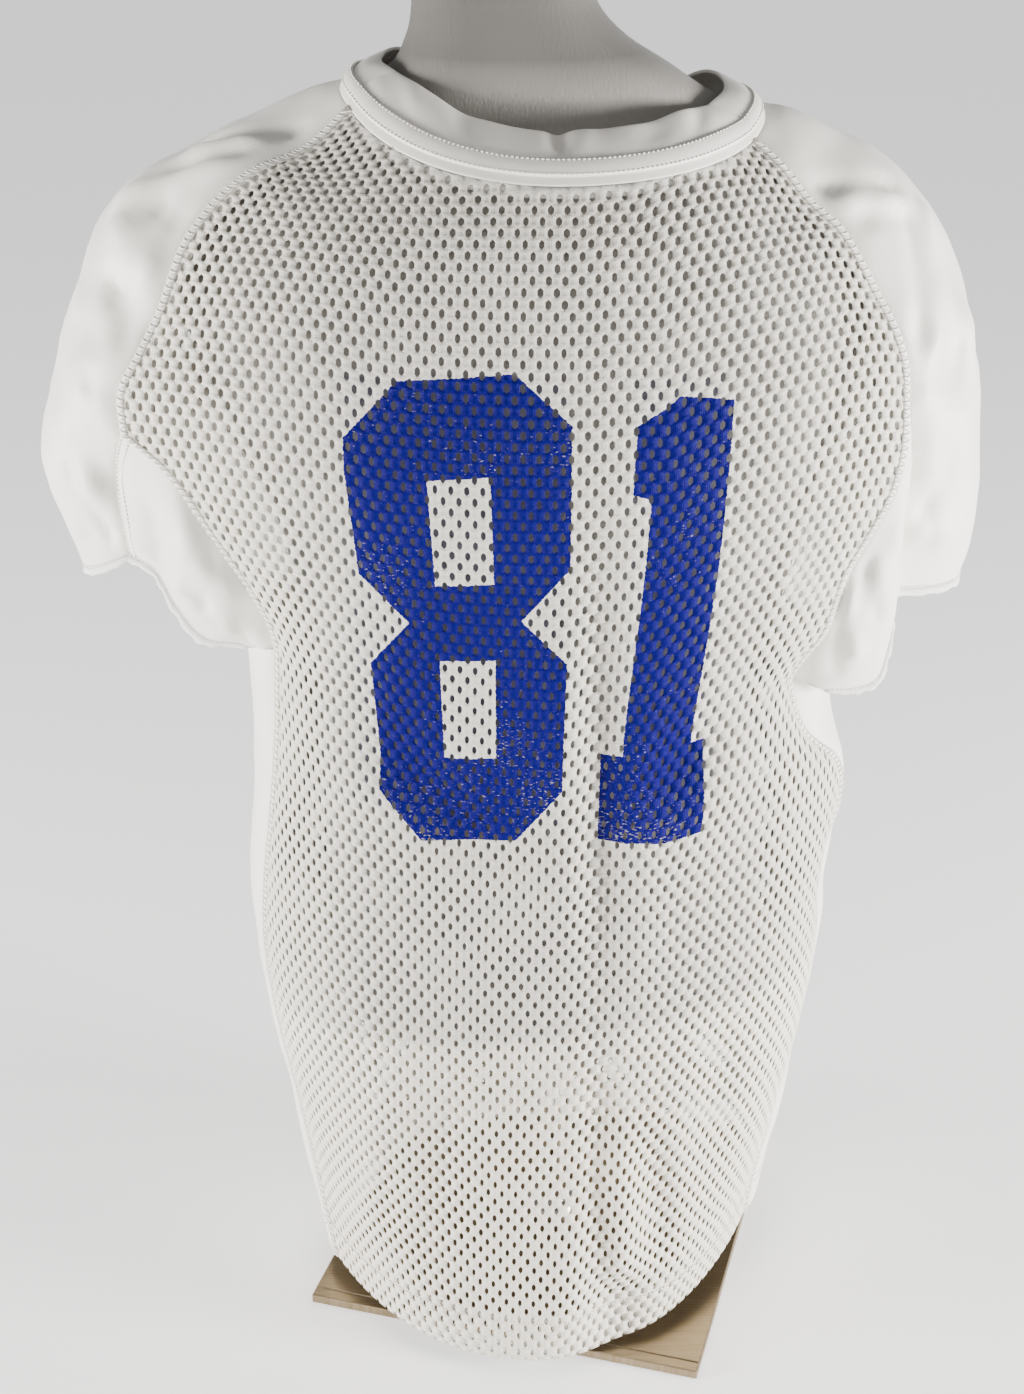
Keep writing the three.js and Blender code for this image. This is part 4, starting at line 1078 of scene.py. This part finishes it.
# Its folds: both ends, half width and height, in millimetres.
SLEEVE_FOLDS = {
    "left": [
        (-197, -5, 726, -138, -33, 736, 5, -3.9), (-200, -14, 722, -160, -34, 732, 4, 2.4),
        (-206, -24, 717, -168, -38, 726, 5, -3.6), (-238, -17, 697, -172, -40, 719, 8, 4.5),
        (-214, -40, 701, -199, -50, 692, 7, -4.8), (-237, -31, 689, -215, -58, 669, 8, 4.5),
        (-240, -47, 664, -230, -62, 632, 7, -5.1), (-262, -30, 650, -250, -56, 612, 8, 3.3),
        (-253, -58, 611, -246, -62, 580, 5, -3.9), (-270, -45, 590, -258, -56, 548, 8, 3.9),
        (-271, -50, 557, -252, -50, 516, 5, -4.8), (-280, -30, 560, -272, -34, 512, 8, 3),
        (-280, 20, 600, -262, 40, 560, 10, -4.5), (-262, 30, 660, -240, 50, 630, 9, 3.9),
        (-214, 30, 712, -180, 48, 700, 8, -3.6), (-284, 10, 560, -268, 34, 515, 8, 3.6),
    ],
    "right": [
        (128, -42, 709, 176, -22, 706, 5, -4.5), (140, -44, 702, 178, -32, 701, 5, 3.3),
        (153, -46, 693, 182, -32, 692, 5, -3.6), (194, -19, 693, 197, -52, 632, 5, 5.6),
        (184, -34, 690, 190, -60, 634, 5, -3.6), (196, -55, 627, 190, -62, 602, 5, 4.5),
        (212, -24, 676, 214, -46, 610, 9, -4.5), (187, -58, 546, 204, -55, 536, 6, -4.8),
        (222, -30, 640, 218, -44, 560, 8, 3.9), (196, -56, 580, 202, -54, 556, 8, 3),
        (196, -58, 524, 214, -46, 516, 6, 3.6), (226, 16, 610, 214, 38, 570, 9, -4.5),
        (206, 30, 680, 190, 50, 650, 9, 3.9), (160, 34, 714, 132, 48, 706, 8, -3.6),
        (216, 10, 540, 208, 34, 510, 8, 3.6),
    ],
}
POINT_ROW = POINT * FINE
SLEEVE_STEPS = 5 * FINE
for side, out in (("left", -1), ("right", 1)):
    lines = SLEEVE_LINES[side]
    seams = []
    for face, edge in (("front", front_edges[side]), ("back", back_edges[side])):
        lower = even_points(lines[face], SLEEVE_STEPS)[1:]
        seams.append(np.vstack([edge[POINT_ROW:][::-1], lower]))
    crown = np.vstack([
        even_points(lines["ridge_shoulder"], STEPS["shoulder"]),
        even_points(lines["ridge_sleeve"], SLEEVE_STEPS)[1:],
    ])
    turn = 66 + 18 * ease(np.arange(len(crown)) / STEPS["shoulder"])
    grids[f"sleeve_{side}"] = arched(seams[0], crown, seams[1], turn, columns=9 * FINE)
    sleeve = knit_piece(
        f"sleeve_knit_{side}", folded(grids[f"sleeve_{side}"]), -out, plain_knit,
        loose=0.9, folds=SLEEVE_FOLDS[side],
    )
    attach(sleeve, "root")
    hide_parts(f"sleeve_{side}")

# Gussets. A piece of plain knit under each arm, from the side panel's top to the cuff, which lets
# the arm be lifted. Its cuff edge is gathered.
# That edge round the arm's opening, in millimetres: x, y, z.
CUFF_LINES = {
    "left": {
        "front": [
            (-243, -50, 506), (-228, -58, 500), (-217, -61, 480), (-199, -60, 458), (-184, -59, 456),
            (-177, -57, 453),
        ],
        "under": [
            (-177, -57, 453), (-183, -42, 453), (-196, -22, 452), (-200, -6, 452), (-195, 14, 452),
            (-179, 36, 454),
        ],
        "back": [
            (-179, 36, 454), (-196, 42, 458), (-214, 44, 470), (-230, 44, 488), (-242, 42, 500),
        ],
    },
    "right": {
        "front": [
            (178, -56, 489), (188, -55, 471), (187, -56, 449), (181, -59, 432), (167, -64, 429),
            (151, -68, 431),
        ],
        "under": [
            (151, -68, 431), (160, -50, 432), (180, -28, 432), (186, -8, 432), (180, 14, 432),
            (161, 38, 434),
        ],
        "back": [
            (161, 38, 434), (176, 44, 436), (186, 46, 452), (188, 45, 470), (182, 42, 484),
        ],
    },
}
# Its folds, given like the sleeves'.
GUSSET_FOLDS = {
    "left": [
        (-189, -80, 522, -200, -72, 482, 5, -5.1), (-203, -80, 526, -211, -68, 492, 6, 4.5),
        (-222, -70, 540, -226, -66, 508, 7, -3), (-184, -78, 505, -186, -68, 470, 6, 3.9),
        (-200, 50, 520, -212, 46, 480, 7, -4.5), (-186, 52, 510, -194, 44, 470, 7, 3.6),
    ],
    "right": [
        (166, -78, 513, 176, -72, 480, 5, -4.8), (158, -78, 498, 166, -72, 456, 5, 4.5),
        (150, -76, 480, 156, -70, 444, 5, -3.9), (180, -68, 530, 184, -62, 492, 6, 3.6),
        (170, 54, 510, 176, 48, 470, 7, -4.5), (156, 56, 500, 162, 46, 456, 7, 3.6),
    ],
}
for side, out in (("left", -1), ("right", 1)):
    front, back = (edges[side][PIT_ROW:POINT_ROW + 1] for edges in (front_edges, back_edges))
    armhole = np.vstack([front[::-1], grids[f"side_{side}"][PIT_ROW][1:-1], back])
    cuff_edge = np.vstack([
        even_points(CUFF_LINES[side]["front"], STEPS["armhole"]),
        even_points(CUFF_LINES[side]["under"], 5 * FINE)[1:],
        even_points(CUFF_LINES[side]["back"], STEPS["armhole"])[1:],
    ])
    v = np.linspace(0, 1, SLEEVE_STEPS + 1)[None, :]
    u = np.linspace(0, 1, len(armhole))[:, None]
    grid = armhole[:, None] * (1 - v[..., None]) + cuff_edge[:, None] * v[..., None]
    swell = np.sin(np.pi * v) * np.sin(2 * np.pi * np.minimum(u, 1 - u)) * np.cos(np.pi * u)
    grid[..., 1] -= 8 * swell
    row = np.arange(len(armhole))
    for face, last, rows_off in (("front", 0, row), ("back", -1, row[::-1])):
        gap = even_points(SLEEVE_LINES[side][face], SLEEVE_STEPS) - grid[last]
        grid += ease(1 - rows_off / (1.5 * FINE))[:, None, None] * gap[None]
    grids[f"gusset_{side}"] = grid
    gusset = knit_piece(
        f"gusset_knit_{side}", folded(grid), -out, plain_knit, loose=0.8, folds=GUSSET_FOLDS[side]
    )
    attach(gusset, "root")
    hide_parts(f"gusset_{side}")

# Cuffs. An elastic band in a turned-up casing closes each sleeve and gusset, and gathers the knit
# into small ruffles. Its depth in millimetres is given over the arm and under it.
CUFF_DEPTH = {"crown": 5, "left": 12, "right": 6}
elastic, tree, shader = new_material("white_elastic_band", (0.82, 0.815, 0.79), 0.7)
place = add(tree, "ShaderNodeUVMap", uv_map="cloth").outputs["UV"]
normal, fuzz = knit_bump(tree, place, wale=0.0011, depth=0.0005, strength=0.8)
tree.links.new(normal, shader.inputs["Normal"])
tree.links.new(mixed(tree, fuzz, (0.78, 0.77, 0.74), (0.9, 0.9, 0.885)), shader.inputs["Base Color"])
shader.inputs["Sheen Weight"].default_value = 0.2


def unit(v):
    """Vectors of length 1."""
    return v / np.maximum(np.linalg.norm(v, axis=-1, keepdims=True), 1e-9)


for side, out in (("left", -1), ("right", 1)):
    gusset, sleeve = grids[f"gusset_{side}"], grids[f"sleeve_{side}"]
    over = slice(-2, 0, -1)
    edge = np.vstack([gusset[:, -1], sleeve[-1][over]])
    way = unit(np.vstack([gusset[:, -1] - gusset[:, -2], (sleeve[-1] - sleeve[-2])[over]]))
    for _ in range(4 * FINE**2):
        way = unit(way + np.roll(way, 1, axis=0) + np.roll(way, -1, axis=0))
    t = np.minimum(np.arange(len(edge)) / (len(gusset) - 1), 1)
    drop = CUFF_DEPTH["crown"] + (CUFF_DEPTH[side] - CUFF_DEPTH["crown"]) * np.sin(np.pi * t) ** 2
    rows = np.linspace(0, 1, 13)
    band = folded(edge[None] + way[None] * (drop[None, :] * rows[:, None])[..., None])
    ring = np.linspace(0, 2 * np.pi, len(edge), endpoint=False)
    gathers = np.sin(31 * ring + 1.3 * np.sin(5 * ring))
    gathers += 0.5 * np.sin(47 * ring + 0.8 * np.sin(3 * ring + 1))
    ruffle = 0.9 * gathers[None] * rows[:, None] ** 1.5 + 1.6 * np.sin(np.pi * rows)[:, None] ** 0.7
    normal = outward(band, out, ring=True)
    band = band + normal * ruffle[..., None]
    cuff = knit_piece(f"cuff_band_{side}", band, out, elastic, ring=True, swell=0.3, loose=0)
    cuff.modifiers["cloth"].thickness = 0.002
    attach(cuff, "root")
    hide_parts(f"cuff_{side}")

# Collar. A doubled band of plain knit that stands on the neck seam and leans in to the neck, soft
# and slightly puckered, with a rounded inner edge.
COLLAR_MIDDLE = np.array([-6, -8])
COLLAR_CREASES = [(-4, 5, 2.4), (9, 6, -0.9), (-52, 9, 1.8), (-78, 6, -1.0), (46, 10, 1.4), (70, 5, 1.8)]
neck_seam = np.vstack([
    hung_front[-1][:-1], grids["sleeve_right"][0][:-1],
    hung_back[-1][:-1], grids["sleeve_left"][0][::-1][:-1],
])


def collar_rows(rows):
    """The collar's rows over the neck seam: 0 is the seam and 1 the inner edge."""
    toward = unit(COLLAR_MIDDLE - neck_seam[:, :2])
    back = ease((neck_seam[:, 1] + 60) / 110)
    reach = 29 + (14 - 29) * back
    rise = 22 + (20 - 22) * back - 10 * np.sin(np.pi * back)
    ring = []
    for r in rows:
        swell = 2.5 * np.sin(np.pi * r)
        lean = (reach * r - 0.6 * swell)[:, None] * toward
        ring.append(np.column_stack([neck_seam[:, :2] + lean, neck_seam[:, 2] + rise * r + swell]))
    return np.array(ring)


def neck_dents(points, rows):
    """Soft upright creases of the collar: middle x, half width and depth, in millimetres."""
    dent = np.zeros(points.shape[:2])
    upper_front = ease(-(points[..., 1] + 20) / 30) * ease((rows[:, None] - 0.35) / 0.4)
    for x, width, depth in COLLAR_CREASES:
        dent -= depth * upper_front * np.exp(-(((points[..., 0] - x) / width) ** 2))
    return dent


rows = np.concatenate([[0, 0.02, 0.05], np.linspace(0.1, 0.9, 15), [0.94, 0.97, 0.99, 1.0]])
band = folded(collar_rows(rows))
band = band + outward(band, 1, ring=True) * neck_dents(band, rows)[..., None]
collar = knit_piece("collar_band", band, 1, plain_knit, ring=True, swell=0.4, loose=0.35)
collar.modifiers["cloth"].thickness = 0.002
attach(collar, "root")
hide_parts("collar")

# Neck tape. A narrow strip of knit laid over the neck seam, raised a little along its middle and
# stitched down along both its edges.
TAPE_ROWS = 9
tape_grid = folded(collar_rows(np.linspace(0.12, 0.4, TAPE_ROWS)))
crown = 1.0 + 1.1 * np.sin(np.pi * np.linspace(0, 1, TAPE_ROWS)) ** 0.45
tape_grid = tape_grid + outward(tape_grid, 1, ring=True) * crown[:, None, None]
neck_tape = cloth_piece("neck_tape_strip", tape_grid, 1, ring=True)
neck_tape.data.materials.append(plain_knit)
solid = neck_tape.modifiers.new("cloth", "SOLIDIFY")
solid.thickness, solid.offset = 0.0005, -1
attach(neck_tape, "root")
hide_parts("neck_tape")

# Seam allowances. The cut edges of mesh and knit are laid together inside the garment and
# overlocked, so white knit shows through the holes next to each seam. They are 9 mm wide, and 6 mm
# at the neck.


def beside_edge(grid, facing, edge, distances, lifts):
    """Lines beside one edge of a sheet, so far in from it and so far out from its surface."""
    turn = {
        "left": lambda g: g, "right": lambda g: g[:, ::-1],
        "bottom": lambda g: g.transpose(1, 0, 2), "top": lambda g: g[::-1].transpose(1, 0, 2),
    }[edge]
    points, normal = turn(grid), turn(outward(grid, facing))
    run = np.cumsum(np.linalg.norm(np.diff(points, axis=1), axis=2), axis=1)
    run = np.concatenate([np.zeros((len(run), 1)), run], axis=1)
    lines = np.empty((len(points), len(distances), 3))
    for i in range(len(points)):
        at = np.interp(distances, run[i], np.arange(run.shape[1]))
        j = np.minimum(at.astype(int), run.shape[1] - 2)
        part = (at - j)[:, None]
        lines[i] = points[i, j] * (1 - part) + points[i, j + 1] * part
        lines[i] += (normal[i, j] * (1 - part) + normal[i, j + 1] * part) * np.array(lifts)[:, None]
    return lines


def strips_piece(name, strips, material, thick):
    """One piece from several strips of cloth, each turned to face outwards."""
    points, faces, uv = [], [], []
    for grid, normal in strips:
        rows, columns = grid.shape[:2]
        up = np.cross(grid[0, 1] - grid[0, 0], grid[1, 0] - grid[0, 0])
        facing = 1 if up @ normal[0, 0] > 0 else -1
        faces += [tuple(i + len(points) for i in face) for face in grid_faces(rows, columns, facing)]
        points += list(grid.reshape(-1, 3) * MM)
        uv += list(cloth_coordinates(grid).reshape(-1, 2) * MM)
    piece = mesh_object(name, points, faces, uv)
    piece.data.materials.append(material)
    solid = piece.modifiers.new("cloth", "SOLIDIFY")
    solid.thickness, solid.offset = thick, -1
    return piece


SEAM_EDGES = [(grid, edge) for grid in (front_grid, back_grid) for edge in ("left", "right")]
NECK_EDGES = [(grid, "top") for grid in (front_grid, back_grid)]
ALLOWANCE, ALLOWANCE_LIFT = [0, 3, 6, 9], [-0.9, -1.1, -1.2, -1.2]
allowances = []
for seams, lines in ((SEAM_EDGES, 4), (NECK_EDGES, 3)):
    for grid, edge in seams:
        strip = beside_edge(grid, 1, edge, ALLOWANCE[:lines], ALLOWANCE_LIFT[:lines])
        shell = beside_edge(grid, 1, edge, ALLOWANCE[:lines], [0] * lines)
        allowances.append((strip, shell - strip))
seam_allowance = strips_piece("seam_allowances", allowances, plain_knit, 0.0006)
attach(seam_allowance, "root")

# Hem. The mesh is turned up 28 mm at the front and at the back, so two layers of holes lie over
# each other there, and the fold runs through a row of holes, which leaves its edge scalloped.
HEM_ROWS = 7
for face, grid, cloth in (("front", front_grid, front_cloth), ("back", back_grid, back_cloth)):
    grid, cloth = grid[:HEM_ROWS], cloth[:HEM_ROWS]
    hem = net_piece(f"{face}_turned_hem", grid, cloth, plain_mesh, lift=-0.0009, shift=0.0027)
    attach(hem, "root")
bpy.data.objects.remove(cell)

# Overlocked seams. Where mesh meets plain knit the seam stands up as a soft band, 5 mm wide, and
# the looped thread runs to and fro across it.
thread, tree, shader = new_material("white_polyester_thread", (0.8, 0.78, 0.73), 0.45)
coords = add(tree, "ShaderNodeTexCoord")
twist = add(tree, "ShaderNodeTexNoise", {"Vector": coords.outputs["Object"], "Scale": 900.0, "Detail": 1.0})
thread_colour = mixed(tree, twist.outputs["Fac"], (0.66, 0.63, 0.57), (0.88, 0.86, 0.81))
tree.links.new(thread_colour, shader.inputs["Base Color"])
bump = add(tree, "ShaderNodeBump", {"Height": twist.outputs["Fac"], "Strength": 0.5, "Distance": 0.0003})
tree.links.new(bump.outputs["Normal"], shader.inputs["Normal"])
shader.inputs["Sheen Weight"].default_value = 0.3

BAND = [0.0, 0.7, 1.8, 3.2, 4.3, 5.0]
BAND_RISE = [0.25, 0.75, 1.0, 0.95, 0.6, -0.1]
bands = []
for grid, edge in SEAM_EDGES:
    strip = beside_edge(grid, 1, edge, BAND, BAND_RISE)
    shell = beside_edge(grid, 1, edge, BAND, [-1] * len(BAND))
    bands.append((strip, strip - shell))
seam_bands = strips_piece("overlocked_seam_bands", bands, plain_knit, 0.0004)
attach(seam_bands, "root")

loop_tree, given, result = node_tree("looped_thread", [("Thread radius", "Float"), ("Thread", "Material")])
tree = loop_tree
curve = add(tree, "GeometryNodeMeshToCurve", {"Mesh": given["Geometry"]}).outputs["Curve"]
section = add(tree, "GeometryNodeCurvePrimitiveCircle", {"Resolution": 5, "Radius": given["Thread radius"]})
section = section.outputs["Curve"]
tube = add(tree, "GeometryNodeCurveToMesh", {"Curve": curve, "Profile Curve": section}).outputs["Mesh"]
tube = add(tree, "GeometryNodeRealizeInstances", {"Geometry": tube}).outputs["Geometry"]
tube = add(tree, "GeometryNodeSetMaterial", {"Geometry": tube, "Material": given["Thread"]})
tree.links.new(tube.outputs["Geometry"], result["Geometry"])


def thread_lines(name, lines):
    """A piece of loose edges along several lines of points in millimetres."""
    mesh = bpy.data.meshes.new(name)
    points, pairs = [], []
    for line in lines:
        pairs += [(len(points) + i, len(points) + i + 1) for i in range(len(line) - 1)]
        points += [tuple(p * MM) for p in line]
    mesh.from_pydata(points, pairs, [])
    piece = bpy.data.objects.new(name, mesh)
    scene.collection.objects.link(piece)
    return piece


def resampled(line, step):
    """Points at even steps along a line."""
    run = np.concatenate([[0], np.cumsum(np.linalg.norm(np.diff(line, axis=0), axis=1))])
    at = np.linspace(0, run[-1], max(2, int(run[-1] / step) + 1))
    return np.column_stack([np.interp(at, run, line[:, k]) for k in range(3)])


LOOP_STEP = 1.1
zigzags = []
for grid, edge in SEAM_EDGES:
    inner = beside_edge(grid, 1, edge, [0.2, 2.6, 5.2], [0.9, 1.45, 0.45])
    three = [resampled(inner[:, k], LOOP_STEP) for k in range(3)]
    count = min(len(line) for line in three)
    to_and_fro = [0, 1, 2, 1]
    zigzags.append(np.array([three[to_and_fro[i % 4]][i] for i in range(count)]))
overlock = thread_lines("overlock_thread", zigzags)
made_with(overlock, loop_tree, {"Thread radius": 0.00042, "Thread": thread})
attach(overlock, "root")

# Topstitching. Straight rows of lockstitch hold the seams between sleeve and gusset, the cuff
# casings, both edges of the neck tape and the turned hems.
stitch_tree, given, result = node_tree("stitch_rows", [
    ("Spacing", "Float"), ("Stitch length", "Float"), ("Thread width", "Float"), ("Thread", "Material"),
])
tree = stitch_tree
curve = add(tree, "GeometryNodeMeshToCurve", {"Mesh": given["Geometry"]}).outputs["Curve"]
even = add(tree, "GeometryNodeResampleCurve", {"Curve": curve, "Length": given["Spacing"]}, mode="LENGTH")
bead = add(tree, "GeometryNodeMeshUVSphere", {"Segments": 6, "Rings": 4, "Radius": 0.5})
size = add(tree, "ShaderNodeCombineXYZ", {
    "X": given["Stitch length"], "Y": given["Thread width"], "Z": given["Thread width"],
})
tangent = tree.nodes.new("GeometryNodeInputTangent").outputs[0]
way = add(tree, "FunctionNodeAlignRotationToVector", {"Vector": tangent}, axis="X")
rows = add(tree, "GeometryNodeInstanceOnPoints", {
    "Points": even.outputs["Curve"], "Instance": bead.outputs["Mesh"],
    "Rotation": way.outputs["Rotation"], "Scale": size.outputs[0],
})
rows = add(tree, "GeometryNodeRealizeInstances", {"Geometry": rows.outputs["Instances"]}).outputs["Geometry"]
rows = add(tree, "GeometryNodeSetMaterial", {"Geometry": rows, "Material": given["Thread"]})
tree.links.new(rows.outputs["Geometry"], result["Geometry"])

stitch_lines = []
for side, out in (("left", -1), ("right", 1)):
    gusset = folded(grids[f"gusset_{side}"])
    sleeve = folded(grids[f"sleeve_{side}"])
    for edge in ("bottom", "top"):
        rows = beside_edge(gusset, -out, edge, [1.4, 6.2], [1.0, 1.0])
        stitch_lines += [rows[:, 0], rows[:, 1]]
    stitch_lines.append(beside_edge(gusset, -out, "right", [1.6], [1.0])[:, 0])
    stitch_lines.append(beside_edge(sleeve, -out, "top", [1.6], [1.0])[:, 0])
    panel = folded(grids[f"side_{side}"])
    hem_rows = beside_edge(panel, out, "bottom", [20, 25], [0.9, 0.9])
    stitch_lines += [hem_rows[:, 0], hem_rows[:, 1]]
    stitch_lines.append(beside_edge(panel, out, "top", [1.5], [1.0])[:, 0])
for grid in (front_grid, back_grid):
    stitch_lines.append(beside_edge(grid, 1, "bottom", [27.5], [0.4])[:, 0])
topstitching = thread_lines("topstitching", stitch_lines)
made_with(topstitching, stitch_tree, {
    "Spacing": 0.0027, "Stitch length": 0.0023, "Thread width": 0.0008, "Thread": thread,
})
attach(topstitching, "root")

# The tape's two rows are the middle two of four, so that their normals are known.
TAPE_TOP = 2.0
four_rows = folded(collar_rows(np.array([0.10, 0.148, 0.372, 0.42])))
tape_rows = (four_rows + outward(four_rows, 1, ring=True) * TAPE_TOP)[1:3]
tape_stitches = thread_lines("neck_tape_stitches", [np.vstack([row, row[:1]]) for row in tape_rows])
made_with(tape_stitches, stitch_tree, {
    "Spacing": 0.0026, "Stitch length": 0.0018, "Thread width": 0.0009, "Thread": thread,
})
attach(tape_stitches, "root")
